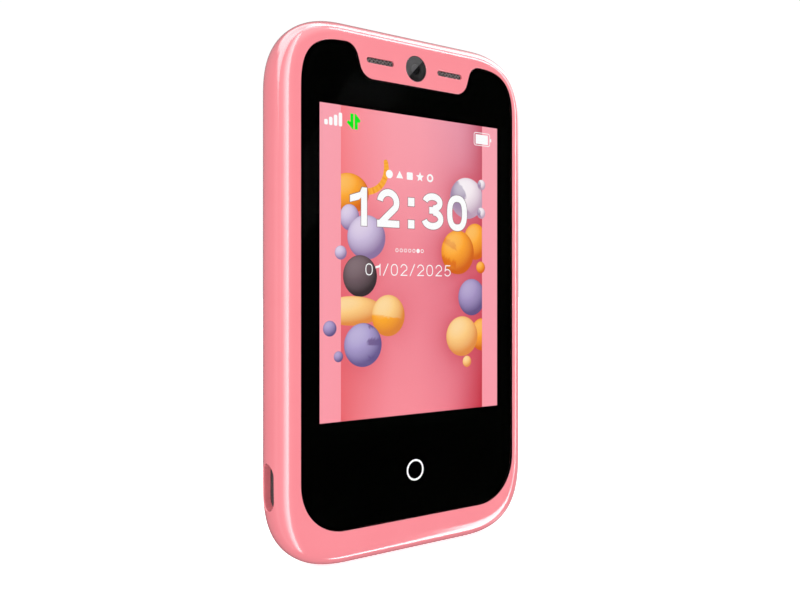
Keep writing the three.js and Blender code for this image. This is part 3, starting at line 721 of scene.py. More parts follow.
# ---- front glass outline
GLASS_CORNER_TOP = (10.6, 3.1)  # radius, superellipse power
GLASS_CORNER_BOTTOM = (9.6, 2.12)
NOTCH_DEEP = 6.1
NOTCH_TOP_X, NOTCH_FOOT_X = 14.2, 12.31  # half width of the notch at its top and its foot
NOTCH_TOP_R, NOTCH_FOOT_R = 2.77, 3.05


def glass_outline(inset, seg=24, arc=12):
    """The glass's edge moved in by inset; the housing's tab and camera sit in the notch."""
    half, top, bottom = GLASS_HALF - inset, GLASS_TOP - inset, GLASS_BOTTOM + inset
    foot_z = GLASS_TOP - NOTCH_DEEP
    slope = math.hypot(NOTCH_TOP_X - NOTCH_FOOT_X, NOTCH_DEEP)
    dx, dz = (NOTCH_TOP_X - NOTCH_FOOT_X) / slope, NOTCH_DEEP / slope

    def flank_x(z):
        return NOTCH_FOOT_X + dz * inset + ((z - (foot_z - dx * inset)) * dx) / dz

    foot = foot_z - inset
    r_top, r_foot = NOTCH_TOP_R - inset, NOTCH_FOOT_R + inset
    half_angle = math.acos(-dx) / 2
    top_x = flank_x(top) + r_top / math.tan(half_angle)
    foot_x = flank_x(foot) - r_foot / math.tan(half_angle)
    flank = math.atan2(-dx, dz)
    notch = []
    for cx, cz, r, start, turn in (
        (top_x, top - r_top, r_top, math.pi / 2, flank + math.pi / 2),
        (foot_x, foot + r_foot, r_foot, flank, -math.pi / 2 - flank),
    ):
        for i in range(arc + 1):
            a = start + i / arc * turn
            notch.append((cx + r * math.cos(a), cz + r * math.sin(a)))
    notch = np.array(notch)
    mirror = np.array([-1, 1])
    radius, power = GLASS_CORNER_TOP
    top_right = superellipse_corner(half, top, radius - inset, power, seg)[:, :2]
    top_right = top_right[top_right[:, 0] > top_x + 0.25]
    radius, power = GLASS_CORNER_BOTTOM
    left, right = (
        superellipse_corner(side, bottom, radius - inset, power, seg)[:, :2]
        for side in (-half, half)
    )
    top_left = (top_right * mirror)[::-1]
    return np.concatenate([top_right, notch, (notch * mirror)[::-1], top_left, left, right[::-1]])


PINK = pink_plastic("pink_shell")
PINK_KEY = pink_plastic("pink_key", rough=0.3, coat=0.6)

# ---- front housing
EDGE_R = 0.12  # rounded edge on each side of the seam between housing and cover
SEAM_INSET = COVER_INSET - 0.08
HOUSING_INSIDE = [
    (SEAM_INSET, COVER_IN), (5.0, COVER_IN), (5.0, 3.0), (3.6, 3.0),
    (3.6, -1.75), (4.6, -1.75), (4.6, -3.0),
]  # inset, y
rows = rounding_rows(22, 22, SEAM_INSET - EDGE_R)
rows[0] = (FRONT_IN, FRONT_Y)  # exactly on the front plane
rows += bend(
    (SEAM_INSET - EDGE_R, rear_y(SEAM_INSET - EDGE_R)),
    (SEAM_INSET, rear_y(SEAM_INSET)),
    (SEAM_INSET, rear_y(SEAM_INSET) - EDGE_R),
)
housing = inset_loft("front_housing_shell", rows + HOUSING_INSIDE)

cover_screws = [centre("cover_screw_%d" % i)[[0, 2]] for i in (1, 2, 3, 4)]
board_screws = [centre("board_screw_%d" % i)[[0, 2]] for i in (1, 2)]
joins = []
for x, z in cover_screws:
    joins.append(prism_y("boss", circle(x, z, 2.0, 32), [(0, -3.3), (0, 3.78), (-0.12, 3.9)]))
for x, z in board_screws:
    joins.append(prism_y("post", circle(x, z, 1.5, 32), [(0, -3.3), (0, -1.05), (-0.08, -0.97)]))

# seat of the glass, and the ways through behind it
lcd_low, lcd_high = box("lcd_frame")
window = round_rect(
    lcd_low[0] - 0.3, lcd_high[0] + 0.3, lcd_low[2] - 0.25, lcd_high[2] + 0.25, 0.6
)
cuts = [
    prism_y("recess", glass_outline(-0.05), hole_rows(FRONT_Y, 0.10, SEAT_Y)),
    block_y("window", window, SEAT_Y - 0.5, -2.5),
    block_y("flex_way", round_rect(-9.5, 9.5, -34.0, -31.9, 0.4), -3.9, -2.5),
    block_y("bay", round_rect(-11.95, 11.95, 41.0, 45.9, 0.6), -4.3, -2.5),
]

# earpiece slots
SLOT_LONG, SLOT_WIDE = 6.3, 1.07
mesh_places = []
for side in ("left", "right"):
    x, _, z = centre("earpiece_mesh_" + side)
    mesh_places.append((side, x, z))
    slot = stadium(x, z, SLOT_LONG, SLOT_WIDE)
    cuts.append(prism_y("slot", slot, hole_rows(FRONT_Y, 0.07, -4.0)))
    cuts.append(block_y("pocket", stadium(x, z, 7.6, 2.2, seg=16), -4.85, -4.0))

# front camera hole
cam = centre("front_camera_window")
cam_low, cam_high = box("front_camera_window")
cam_r = (cam_high[0] - cam_low[0]) / 2
hole = circle(cam[0], cam[2], cam_r + 0.03, 96)
cuts.append(prism_y("cam_hole", hole, hole_rows(FRONT_Y, 0.06, -4.68)))
cuts.append(block_y("cam_bore", circle(cam[0], cam[2], 2.0, 48), -5.0, -4.0))

# charging socket's opening, with a soft edge that follows the left side's curve
_, port_y, port_z = centre("port_shell")
mouth = box("port_gasket")[0][0]
opening = stadium(port_y, port_z, 8.4, 4.2, "y")
cuts.append(prism_side("port_slot", opening, fillet(0.28, 6), -1, end=mouth + 0.3))
opening = stadium(port_y, port_z, 9.4, 5.2, "y")
cuts.append(prism_x("port_pocket", opening, [(0, mouth - 0.02), (0, -26)]))

# side key and card tray slots, on the right
SIDE_GAP = 0.18  # how much longer and wider than the tray its slot is
KEY_LONG, KEY_WIDE, KEY_GAP = 9.0, 2.1, 0.24
TRAY_LONG, TRAY_WIDE = 14.6, 2.6
key_at = {}
for key in ("volume_up", "volume_down", "power"):
    y, z = centre(key + "_plunger")[1:]
    key_at[key] = (y, z)
    slot = stadium(y, z, KEY_LONG + KEY_GAP, KEY_WIDE + KEY_GAP, "y")
    cuts.append(prism_side("key_slot", slot, fillet(0.12), 1, end=26.0))
tray_y, tray_z = key_at["power"][0], centre("sim_tray")[2]
slot = stadium(tray_y, tray_z, TRAY_LONG + SIDE_GAP, TRAY_WIDE + SIDE_GAP, "y")
cuts.append(prism_side("tray_slot", slot, fillet(0.10), 1, end=26.0))

# microphone hole in the lower end
MIC_R, MIC_EDGE = 0.5, 0.1
mic_at = np.array([centre("microphone")[0], port_y])


def mic_ring(out, z=None, depth=0.0):
    """Ring at a height z, or at a depth above the shell's lower surface."""
    points = offset(circle(0, 0, MIC_R, 32), out) + mic_at
    height = lower_z(points) + depth if z is None else np.full(len(points), z)
    return np.stack([points[:, 0], points[:, 1], height], 1)


rings = [mic_ring(MIC_EDGE, z=-HALF_HEIGHT - 1.5)]
rings += [mic_ring(out, depth=depth) for out, depth in fillet(MIC_EDGE)]
rings.append(mic_ring(0, z=-46.0))
cuts.append(loft("mic_hole", rings))

cuts += [block_y("screw_hole", circle(x, z, 0.8, 24), -1.5, 4.5) for x, z in cover_screws]
cuts += [block_y("post_hole", circle(x, z, 0.72, 24), -2.99, 0) for x, z in board_screws]
carve(housing, cuts=cuts, joins=joins)
piece(housing, PINK, "front_housing")

# ---- rear cover
HEAD_HOLE = [(0, 4.45), (0, 5.16), (0.1, 5.25), (0.14, 6)]  # offset, y
CAMERA_HOLE = [(0, 3.5), (0, BACK_Y - 0.07), (0.02, BACK_Y - 0.03), (0.07, BACK_Y), (0.07, 6)]
GRILLE_EDGE = 0.09
GRILLE_HOLE = [(0, 3.5)]
GRILLE_HOLE += [(out, BACK_Y - depth) for out, depth in fillet(GRILLE_EDGE)[::-1]]
GRILLE_HOLE += [(GRILLE_EDGE, 6)]
GRILLE_PITCH = 2.4

rim = COVER_INSET + EDGE_R
rows = [(COVER_INSET + 0.05, COVER_IN), (COVER_INSET, COVER_IN + 0.05)]
rows += bend(
    (COVER_INSET, rear_y(COVER_INSET) - EDGE_R),
    (COVER_INSET, rear_y(COVER_INSET)),
    (rim, rear_y(rim)),
)
rows += sorted(p for p in rounding_rows(4, 30) if p[1] > 0 and p[0] > rim + 0.06)
cover = inset_loft("rear_cover_shell", rows)
rear_x, _, rear_z = centre("rear_camera_window")
grille_x, _, grille_z = centre("loudspeaker_mesh")
cuts = []
for x, z in cover_screws:
    cuts.append(prism_y("head_hole", circle(x, z, 1.55, 48), HEAD_HOLE))
    cuts.append(block_y("shaft_hole", circle(x, z, 0.85, 32), 3.5, 5))
cuts.append(prism_y("camera_hole", circle(rear_x, rear_z, 4.87, 96), CAMERA_HOLE))
for k in (-1, 0, 1):
    slot = stadium(grille_x, grille_z + k * GRILLE_PITCH, SLOT_LONG, SLOT_WIDE)
    cuts.append(prism_y("grille_slot", slot, GRILLE_HOLE))
carve(cover, cuts=cuts)
piece(cover, PINK, "rear_cover")

# ---- cover screws, with a cross recess in the head
STEEL = brushed_metal("screw_steel", (0.62, 0.62, 0.64), rough=0.28, along="y", stretch=30.0)
HEAD_Y = 5.115
THREAD_TOP, THREAD_PITCH, THREAD_COUNT = 4.3, 0.32, 16
SHAFT_R, ROOT_R = 0.70, 0.62
CROSS_HALF, CROSS_WIDE, CROSS_DEEP = 0.80, 0.30, 0.36
SCREW_HEAD = [
    (0, 5.10), (0.7, HEAD_Y), (1.12, 5.10), (1.28, 5.06), (1.37, 4.98),
    (1.40, 4.88), (1.40, 4.50), (SHAFT_R, 4.50),
]  # radius, y
SCREW_TIP = [(ROOT_R, -0.85), (0.45, -1.15), (0, -1.2)]
CROSS_ROWS = [
    (-0.05, HEAD_Y - CROSS_DEEP), (0, HEAD_Y - CROSS_DEEP * 0.5), (0.03, HEAD_Y),
    (0.1, HEAD_Y + 0.4),
]  # offset, y


def cover_screw(name, x, z):
    profile = list(SCREW_HEAD)
    for k in range(THREAD_COUNT):  # the thread, drawn as closed ridges
        y = THREAD_TOP - THREAD_PITCH * k
        profile += [(SHAFT_R, y), (ROOT_R, y - 0.14), (SHAFT_R, y - 0.28)]
    screw = lathe_y(name, x, z, profile + SCREW_TIP)
    arm = round_rect(
        -CROSS_HALF, CROSS_HALF, -CROSS_WIDE / 2, CROSS_WIDE / 2, CROSS_WIDE * 0.3, 4
    )
    cuts = []
    for a in (0, math.pi / 2):
        c, s = math.cos(a), math.sin(a)
        turned = np.stack([x + arm[:, 0] * c - arm[:, 1] * s, z + arm[:, 0] * s + arm[:, 1] * c], 1)
        cuts.append(prism_y("recess", turned, CROSS_ROWS))
    return carve(screw, cuts=cuts, angle=28)


for i, (x, z) in enumerate(cover_screws, 1):
    screw = cover_screw("cover_screw_%d_part" % i, x, z)
    piece(screw, STEEL, "cover_screw_%d" % i)

# ---- woven mesh behind the slots
MESH = Material("woven_mesh", Specular_IOR_Level=0.12)
MESH.set(
    Base_Color=MESH.tones(1500.0, rgb(0.15, 0.142, 0.140), rgb(0.23, 0.219, 0.216), detail=4.0),
    Roughness=MESH.mottle(2500.0, to=(0.6, 0.75)),
    Normal=MESH.grain(6000.0, strength=0.3, depth=0.004, detail=3.0),
)
BACKING = Material("mesh_backing")
BACKING.set(
    Base_Color=BACKING.tones(900.0, rgb(0.02, 0.019, 0.019), rgb(0.035, 0.033, 0.033)),
    Roughness=BACKING.mottle(1200.0, to=(0.7, 0.9)),
    Normal=BACKING.grain(5000.0, strength=0.6, depth=0.02, detail=3.0),
)


def weave(name, cx, cz, long, wide, y0, wire_r, swing, corner, sides, pitch=0.60):
    """Wires crossing at right angles, over and under each other, cut to a rounded rectangle."""
    verts, faces = [], []

    def inside(x, z):
        qx, qz = abs(x) - (long / 2 - corner), abs(z) - (wide / 2 - corner)
        reach = corner - wire_r
        return math.hypot(max(qx, 0), max(qz, 0)) <= reach and max(qx, qz) <= reach

    def add_wire(line, across):
        base = len(verts)
        for i, point in enumerate(line):
            ahead = line[min(i + 1, len(line) - 1)] - line[max(i - 1, 0)]
            up = np.cross(across, ahead / np.linalg.norm(ahead))
            for j in range(sides):
                a = 2 * math.pi * j / sides
                verts.append(tuple(point + wire_r * (math.cos(a) * across + math.sin(a) * up)))
        last = base + (len(line) - 1) * sides
        for a in range(base, last, sides):
            b = a + sides
            for j in range(sides):
                k = (j + 1) % sides
                faces.append((a + j, b + j, b + k, a + k))
        faces.append(tuple(base + j for j in range(sides)))
        faces.append(tuple(last + j for j in range(sides - 1, -1, -1)))

    reach = (long + wide) / 2
    count = int(reach / pitch) + 1
    step = pitch / 6
    for slant in (45, -45):
        dx, dz = math.cos(math.radians(slant)), math.sin(math.radians(slant))
        for k in range(-count, count + 1):
            runs = [[]]
            for i in range(int(2 * reach / step) + 1):
                s = -reach + i * step
                x, z = dx * s - dz * k * pitch, dz * s + dx * k * pitch
                if inside(x, z):
                    phase = math.pi * (s / pitch) + math.pi * k
                    wave = math.copysign(swing, slant) * math.cos(phase)
                    runs[-1].append((cx + x, y0 + wave, cz + z))
                elif runs[-1]:
                    runs.append([])
            for run in runs:
                if len(run) >= 3:
                    add_wire(np.array(run), np.array([-dz, 0, dx]))
    obj = face_out(new_object(name, verts, faces))
    smooth(obj.data, 60)
    return obj


EAR_LONG, EAR_WIDE = 7.3, 1.9
for side, x, z in mesh_places:
    cloth = weave(
        "earpiece_weave_" + side, x, z, EAR_LONG, EAR_WIDE, -4.66,
        wire_r=0.15, swing=0.10, corner=EAR_WIDE / 2, sides=8,
    )
    piece(cloth, MESH, "earpiece_mesh_" + side)
    outline = stadium(x, z, EAR_LONG, EAR_WIDE, seg=16)
    felt = prism_y("earpiece_felt_" + side, outline, [(0, -4.50), (0, -4.40), (-0.05, -4.37)])
    piece(shade(felt), BACKING)
low, high = box("loudspeaker_mesh")
cloth = weave(
    "loudspeaker_weave", grille_x, grille_z, high[0] - low[0], high[2] - low[2], 3.80,
    wire_r=0.14, swing=0.09, corner=1.0, sides=6,
)
piece(cloth, MESH, "loudspeaker_mesh")

# ---- glass, with black ink round its edge
# the low index stands for an anti-glare coating: the glass hardly reflects
GLASS = clear_glass(
    "cover_glass", rgb(0.916, 0.921, 0.921), ior=1.07,
    scale=60.0, detail=5.0, roughness=0.6, distortion=1.5, over=(0.45, 0.8), to=(0.0, 0.025),
)
EDGE_INK = Material("glass_edge_ink", Specular_IOR_Level=0.0)
EDGE_INK.set(
    Base_Color=EDGE_INK.tones(800.0, grey(0.002), grey(0.004)),
    Roughness=EDGE_INK.mottle(900.0, to=(0.6, 0.75)),
    Normal=EDGE_INK.grain(6000.0, strength=0.2, depth=0.002),
)
rows = [(-out, FRONT_Y + depth) for out, depth in fillet(0.05)]
rows += [(0, GLASS_BACK - 0.05), (-0.05, GLASS_BACK)]
glass = shade(prism_y("cover_glass_lens", glass_outline(0.0), rows))
piece(glass, GLASS, "cover_glass")
glass.data.materials.append(EDGE_INK.material)
for polygon in glass.data.polygons:
    polygon.material_index = int(abs(polygon.normal.y) < 0.95)

# ---- black print behind the glass, with a painted reflection on it
DISPLAY = (-21.6, 21.6, -23.4, 34.2)  # the print's window over the display: X then Z limits
SEEN = 0.14  # print and picture sit this far right, for the glass's weak refraction


def black_print():
    """Black, with a painted reflection: a faint slanted band, a little less black, between two
    leaning edges.
    """
    mat = Material("black_print", Specular_IOR_Level=0.0)
    tone = mat.noise(300.0, detail=4.0)
    x, _, z = mat.xyz()
    gx, gz = x * 1000.0 - 0.45, z * 1000.0  # millimetres
    lower = mat.ramp(gx * 0.823 - gz * 0.568, over=(-35.3, -34.8))
    upper = mat.ramp(gx * 0.797 - gz * 0.604, over=(-26.1, -25.7), to=(1.0, 0.0))
    # painted reflection: the band stands in for faint light reflected by the glass
    painted_sheen = lower * upper
    black = mat.blend(tone, grey(0.0001), grey(0.0002))
    mat.set(
        Base_Color=mat.mix(painted_sheen, black, grey(0.0026)),
        Roughness=mat.mottle(900.0, to=(0.5, 0.65)),
        Normal=mat.grain(9000.0, strength=0.2, depth=0.002),
    )
    return mat


PRINT = black_print()
mask = block_y("glass_print", glass_outline(0.06), GLASS_BACK + 0.004, MASK_BACK)
window = round_rect(DISPLAY[0] + SEEN, DISPLAY[1] + SEEN, DISPLAY[2], DISPLAY[3], 0.02, 2)
carve(mask, cuts=[block_y("window", window, GLASS_BACK - 1, MASK_BACK + 1)])
piece(mask, PRINT, "glass_mask")

# ---- ring of the touch key: white print with a painted glow that keeps it pure white
GLOWING_PRINT = Material(
    "glowing_white_print", Emission_Color=grey(1), Emission_Strength=0.35
)
GLOWING_PRINT.set(
    Base_Color=GLOWING_PRINT.tones(900.0, grey(0.90), grey(0.97)),
    Roughness=GLOWING_PRINT.mottle(1500.0, to=(0.4, 0.55)),
    Normal=GLOWING_PRINT.grain(8000.0, strength=0.2, depth=0.002),
)
RING_OUT, RING_IN = 2.05, 1.70
ring_front, ring_back = GLASS_BACK + 0.0008, GLASS_BACK + 0.0034
profile = [(RING_OUT, ring_front), (RING_OUT, ring_back), (RING_IN, ring_back)]
profile.append((RING_IN, ring_front))
home_z = box("home_touch_pad")[1][2] - 2.6
touch_ring = lathe_y("touch_key_ring", SEEN, home_z, profile, 96)
piece(shade(touch_ring), GLOWING_PRINT)


# ---- the picture on the display
# A pink alcove with toy balls, a clock and plain status marks. Each mark is a very thin closed
# plate a few microns in front of the one behind it; its colours are stored per point.
class Picture:
    STEP = 0.0022

    def __init__(self, back):
        self.verts, self.faces, self.colors = [], [], []
        self.y = back

    def level(self):
        """Everything drawn after this lies in front of everything drawn before it."""
        self.y -= self.STEP

    def plate(self, points, faces, colors):
        """points in X and Z, faces facing the viewer, a linear colour for each point."""
        n, base = len(points), len(self.verts)
        for y in (self.y, self.y + self.STEP * 0.8):
            self.verts += [(x, y, z) for x, z in points]
        self.colors += list(colors) * 2
        for f in faces:
            self.faces.append(tuple(base + i for i in f))
            self.faces.append(tuple(base + n + i for i in f[::-1]))
        edges = dict.fromkeys(e for f in faces for e in zip(f, f[1:] + f[:1]))
        for a, b in edges:
            if (b, a) not in edges:
                self.faces.append((base + b, base + a, base + n + a, base + n + b))

    def poly(self, points, color):
        p = np.asarray(points, float)
        cross = p[:, 0] * np.roll(p[:, 1], -1) - np.roll(p[:, 0], -1) * p[:, 1]
        if np.sum(cross) < 0:
            p = p[::-1]
        self.plate(p, [tuple(range(len(p)))], [color] * len(p))

    def stroke(self, points, width, color, closed=False):
        """A ribbon along a line; width may vary, and color may be a list, one per point."""
        p = np.asarray(points, float)
        n = len(p)
        tangent = np.roll(p, -1, 0) - np.roll(p, 1, 0) if closed else np.gradient(p, axis=0)
        tangent /= np.linalg.norm(tangent, axis=1)[:, None]
        reach = (np.zeros(n) + width)[:, None] / 2
        normal = np.stack([-tangent[:, 1], tangent[:, 0]], 1)
        points = np.concatenate([p + normal * reach, p - normal * reach])
        faces = []
        for i in range(n if closed else n - 1):
            j = (i + 1) % n
            faces.append((i, n + i, n + j, j))
        self.plate(points, faces, color * 2 if isinstance(color, list) else [color] * (2 * n))

    def ball(self, cx, cz, rx, rz, look, raised=True, rings=9, seg=48, clip=None):
        """A disc coloured by look(u, v). Points past clip=(x_min, x_max) are moved onto it."""
        if raised:
            self.level()
        points, colors, faces = [], [], []
        for i in range(rings + 1):
            r = math.sin(math.pi / 2 * i / rings)
            for j in range(seg if i else 1):
                a = 2 * math.pi * j / seg
                u, v = r * math.cos(a), r * math.sin(a)
                x = cx + rx * u
                if clip and not clip[0] <= x <= clip[1]:
                    x = min(max(x, clip[0]), clip[1])
                    u = (x - cx) / rx
                points.append((x, cz + rz * v))
                colors.append(look(u, v))
        for j in range(seg):
            faces.append((0, 1 + j, 1 + (j + 1) % seg))
        for i in range(1, rings):
            a, b = 1 + (i - 1) * seg, 1 + i * seg
            for j in range(seg):
                k = (j + 1) % seg
                faces.append((a + j, b + j, b + k, a + k))
        if clip:  # drop the faces squashed flat on the clip line
            faces = [f for f in faces if np.ptp([points[i][0] for i in f]) > 1e-7]
        self.plate(np.array(points), faces, colors)


def lerp(a, b, t):
    t = min(max(t, 0.0), 1.0)
    return tuple(x + (y - x) * t for x, y in zip(a, b))


def ball_look(base, shadow, light, stripe=None, striped=None):
    """Colours of a lit sphere over (u, v), with a second colour where striped(u, v)."""

    def look(u, v):
        h = math.sqrt(max(0.0, 1 - u * u - v * v))
        lit = max(0.0, -0.35 * u + 0.55 * v + 0.75 * h)  # light from the upper left
        c = stripe if striped and striped(u, v) else base
        c = lerp(shadow, c, lit * 1.25 + 0.05)
        c = lerp(c, light, max(0.0, (lit - 0.72)) * 1.6)
        return lerp(c, shadow, (1 - h) ** 3 * 0.35)  # darker rim

    return look


ORANGE = ball_look(srgb(255, 170, 52), srgb(214, 96, 20), srgb(255, 214, 130))
ORANGE_STRIPED = ball_look(
    srgb(255, 168, 48), srgb(210, 92, 20), srgb(255, 210, 120), srgb(236, 126, 28),
    lambda u, v: math.sin(7.5 * (u * 0.35 + v)) > 0.45 and u < -0.1,
)
LAVENDER = ball_look(srgb(206, 190, 222), srgb(136, 110, 156), srgb(244, 232, 246))
VIOLET = ball_look(srgb(166, 148, 196), srgb(96, 78, 128), srgb(206, 192, 226))
VIOLET_STRIPED = ball_look(
    srgb(172, 158, 206), srgb(100, 84, 138), srgb(214, 204, 234), srgb(120, 98, 146),
    lambda u, v: math.sin(8.0 * v + 0.6) > 0.5 and u > 0.25,
)
COAL = ball_look(srgb(112, 92, 98), srgb(48, 36, 40), srgb(150, 130, 136))
CREAM = ball_look(srgb(255, 206, 132), srgb(226, 136, 62), srgb(255, 232, 186))
SNOW = ball_look(
    srgb(246, 234, 240), srgb(190, 160, 184), srgb(255, 252, 255), srgb(150, 128, 164),
    lambda u, v: (u + 0.45 * v) < -0.12 + 0.18 * math.sin(5 * v),
)
TWO_TONE = ball_look(
    srgb(255, 208, 134), srgb(222, 128, 50), srgb(255, 232, 186), srgb(255, 172, 44),
    lambda u, v: v < -0.05 - 0.15 * u,
)
WHITE = srgb(255, 255, 255)


def plain_white(u, v):
    return WHITE


PICTURE_GAP = 0.012  # the picture stops this far inside the window
LEFT, RIGHT = DISPLAY[0] + PICTURE_GAP, DISPLAY[1] - PICTURE_GAP
FOOT, HEAD = DISPLAY[2] + PICTURE_GAP, DISPLAY[3] - PICTURE_GAP
ALCOVE = (-17.05, 17.4)  # X of the pillars' inner edges
# x, z, half width, half height, look, radius and strength of the shadow on the wall
BALLS = (
    (-15.2857, 18.2929, 4.4286, 3.7143, ORANGE, 0, 0),
    (-15.1429, 13.8643, 2.1429, 2.4286, LAVENDER, 0, 0),
    (-11.3571, 10.3643, 4.2857, 4.1429, LAVENDER, 4.2143, 0.22),
    (-12.7857, 3.15, 3.7857, 3.8571, COAL, 3.7857, 0.22),
    (-14.5714, -3.2786, 6.8571, 2.7143, CREAM, 0, 0),
    (-6.3571, -4.2786, 3.8571, 3.9286, TWO_TONE, 3.8571, 0.25),
    (-12.1429, -9.6357, 4.2143, 4.0714, VIOLET_STRIPED, 4.1429, 0.3),
    (13.2857, 19.15, 4.4286, 4.1429, SNOW, 4.2857, 0.5),
    (15.5714, 10.4357, 3.1429, 3.7143, ORANGE, 3.4286, 0.6),
    (10.8571, 8.15, 4.2857, 4.4286, ORANGE_STRIPED, 4.3571, 0.6),
    (14.5714, -0.85, 3.5714, 3.7143, VIOLET, 3.6429, 0.6),
    (17.2143, -8.4929, 2.8571, 3.2857, ORANGE, 3.0714, 0.6),
    (12.0, -8.7071, 4.1429, 4.0, CREAM, 4.0714, 0.6),
)
# x, z, radius, look
SMALL_BALLS = (
    (-17.0714, 7.3643, 1.2857, LAVENDER), (-17.5714, -11.5643, 1.0, VIOLET),
    (-19.4286, -6.4214, 1.4286, VIOLET), (17.2143, 22.15, 1.0714, SNOW),
    (17.1429, 16.3643, 1.1429, SNOW), (17.0, 5.2214, 1.2143, ORANGE),
    (13.2857, -13.85, 1.1429, CREAM),
)
SHADOW_FADE = 2.6


def past(value, start):
    """0 up to start, then rising to 1 at 1."""
    return max(0.0, (value - start) / (1 - start))


def wall_color(x, z, u, v):
    """Back wall: warm at the left, rosy in the middle, wine-coloured in the right corner."""
    warm = lerp(srgb(234, 98, 104), srgb(250, 126, 132), v)
    rosy = lerp(srgb(250, 140, 152), srgb(252, 160, 172), v)
    c = lerp(warm, rosy, (u / 0.34) ** (0.6 + 0.3 * (1 - v)))
    dusky = lerp(srgb(240, 128, 144), srgb(246, 162, 178), v**0.6)
    c = lerp(c, dusky, max(0.0, u - 0.34) * 1.2)
    mauve = lerp(srgb(226, 98, 118), srgb(214, 138, 162), v)
    c = lerp(c, mauve, past(u, 0.52) ** 1.2 * 0.85)
    wine = lerp(srgb(196, 40, 58), srgb(198, 78, 98), v)
    c = lerp(c, wine, past(u, 0.80) ** 1.6 * 0.95)
    # darker belt a little below the middle
    c = lerp(c, srgb(226, 96, 116), math.exp(-(((v - 0.42) / 0.22) ** 2)) * 0.35)
    # glow along the foot, and a dark lower right corner
    glow = max(0.0, 1 - v / 0.12) * max(0.0, 1 - abs(u - 0.42) / 0.42)
    c = lerp(c, srgb(253, 146, 158), glow * 0.6)
    c = lerp(c, srgb(198, 50, 66), max(0.0, 1 - v / 0.30) * past(u, 0.72) * 0.6)
    shadow = 0
    for bx, bz, _, _, _, radius, strength in BALLS:
        away = max(0.0, math.hypot(x - bx, z - bz) - radius)
        shadow = max(shadow, strength * math.exp(-away / SHADOW_FADE))
    return lerp(c, srgb(206, 66, 86), shadow)


pic = Picture(MASK_BACK - 0.012)


def draw_wall(columns=40, rows=48, tuck=0.3):
    """The wall reaches behind the pillars by tuck."""
    points, colors = [], []
    for j in range(rows + 1):
        for i in range(columns + 1):
            u, v = i / columns, j / rows
            x = ALCOVE[0] - tuck + (ALCOVE[1] - ALCOVE[0] + 2 * tuck) * u
            z = FOOT + (HEAD - FOOT) * v
            points.append((x, z))
            colors.append(wall_color(x, z, u, v))
    across = columns + 1
    corners = [j * across + i for j in range(rows) for i in range(columns)]
    faces = [(a, a + 1, a + across + 1, a + across) for a in corners]
    pic.plate(np.array(points), faces, colors)


def draw_pillar(x_left, x_right, left, right, rows=12):
    points, colors = [], []
    for j in range(rows + 1):
        v = j / rows
        shared = lerp(srgb(254, 153, 166), srgb(250, 167, 180), v)
        for x, c in ((x_left, left), (x_right, right)):
            points.append((x, FOOT + (HEAD - FOOT) * v))
            colors.append(lerp(c, shared, 0.6))
    faces = [(2 * j, 2 * j + 1, 2 * j + 3, 2 * j + 2) for j in range(rows)]
    pic.plate(np.array(points), faces, colors)


# curved tail rising from the topmost left ball: x, z
TAIL = np.array(
    [
        (-11.3571, 18.7929), (-10.1429, 19.0071), (-8.8571, 19.5786), (-7.7143, 20.5786),
        (-7.0714, 21.8643), (-6.7857, 23.15), (-6.8571, 24.2929), (-7.0714, 25.15),
    ]
)


def draw_tail(count=40):
    known, t = np.linspace(0, 1, len(TAIL)), np.linspace(0, 1, count)
    line = np.stack([np.interp(t, known, TAIL[:, k]) for k in (0, 1)], 1)
    for _ in range(6):
        line[1:-1] = (line[:-2] + 2 * line[1:-1] + line[2:]) / 4
    dark, light = srgb(236, 140, 36), srgb(255, 178, 58)
    colors = [lerp(dark, light, abs(math.sin(k * 0.9)) ** 0.5) for k in range(count)]
    pic.stroke(line, np.interp(t, [0, 0.75, 0.97, 1], [1.25, 1.2, 0.9, 0.35]), colors)


draw_wall()
pic.level()
draw_tail()
for x, z, half_width, half_height, look, _, _ in BALLS:
    pic.ball(x, z, half_width, half_height, look, clip=ALCOVE)
pic.level()
draw_pillar(LEFT, ALCOVE[0], srgb(253, 159, 173), srgb(254, 155, 168))
draw_pillar(ALCOVE[1], RIGHT, srgb(252, 160, 174), srgb(252, 166, 179))
pic.level()
for x, z, radius, look in SMALL_BALLS:
    pic.ball(x, z, radius, radius, look, raised=False, rings=6, seg=32)


# ---- figures
def arc(cx, cy, rx, ry, start, end, n):
    a = np.radians(np.linspace(start, end, n))
    return [(cx + rx * math.cos(t), cy + ry * math.sin(t)) for t in a]


def signed_root(value, power):
    return np.sign(value) * abs(value) ** (2 / power)


def digit_lines(char, w, stroke):
    """(centre line, closed) strokes of a figure in a box w wide and 1 high."""
    h = stroke / 2
    if char == "0":
        oval = []
        for t in np.linspace(0, 2 * math.pi, 56, endpoint=False):
            u, v = signed_root(math.cos(t), 2.5), signed_root(math.sin(t), 2.5)
            oval.append((w / 2 + (w / 2 - h) * u, 0.5 + (0.5 - h) * v))
        return [(oval, True)]
    if char == "2":
        top = arc(w / 2, 1 - w / 2 + 0.02, w / 2 - h, w / 2 - h - 0.01, 172, -28, 22)
        neck = [(w * 0.72, 0.46), (w * 0.40, 0.26), (w * 0.20, 0.13), (h * 1.0, h * 0.4)]
        return [(top + neck, False), ([(0.0, h), (w, h)], False)]
    if char == "3":
        upper = arc(w * 0.49, 0.740, w * 0.46 - h, 0.26 - h, 168, -84, 24)
        lower = arc(w * 0.49, 0.290, w * 0.50 - h, 0.29 - h, 84, -168, 26)
        middle = 0.5 * (0.740 - (0.26 - h) + 0.290 + 0.29 - h)
        bar = [(w * 0.34, middle), (w * 0.56, middle)]
        return [(upper, False), (lower, False), (bar, False)]
    if char == "5":
        bar = [(w * 0.92, 1 - h), (w * 0.16, 1 - h)]
        stem = [(w * 0.22, 1 - h * 0.2), (w * 0.10, 0.44)]
        bowl = arc(w * 0.47, 0.325, w * 0.51 - h, 0.325 - h, 128, -160, 26)
        return [(bar, False), (stem, False), (bowl, False)]
    return [([(0.0, -0.02), (w, 1.02)], False)]  # slash


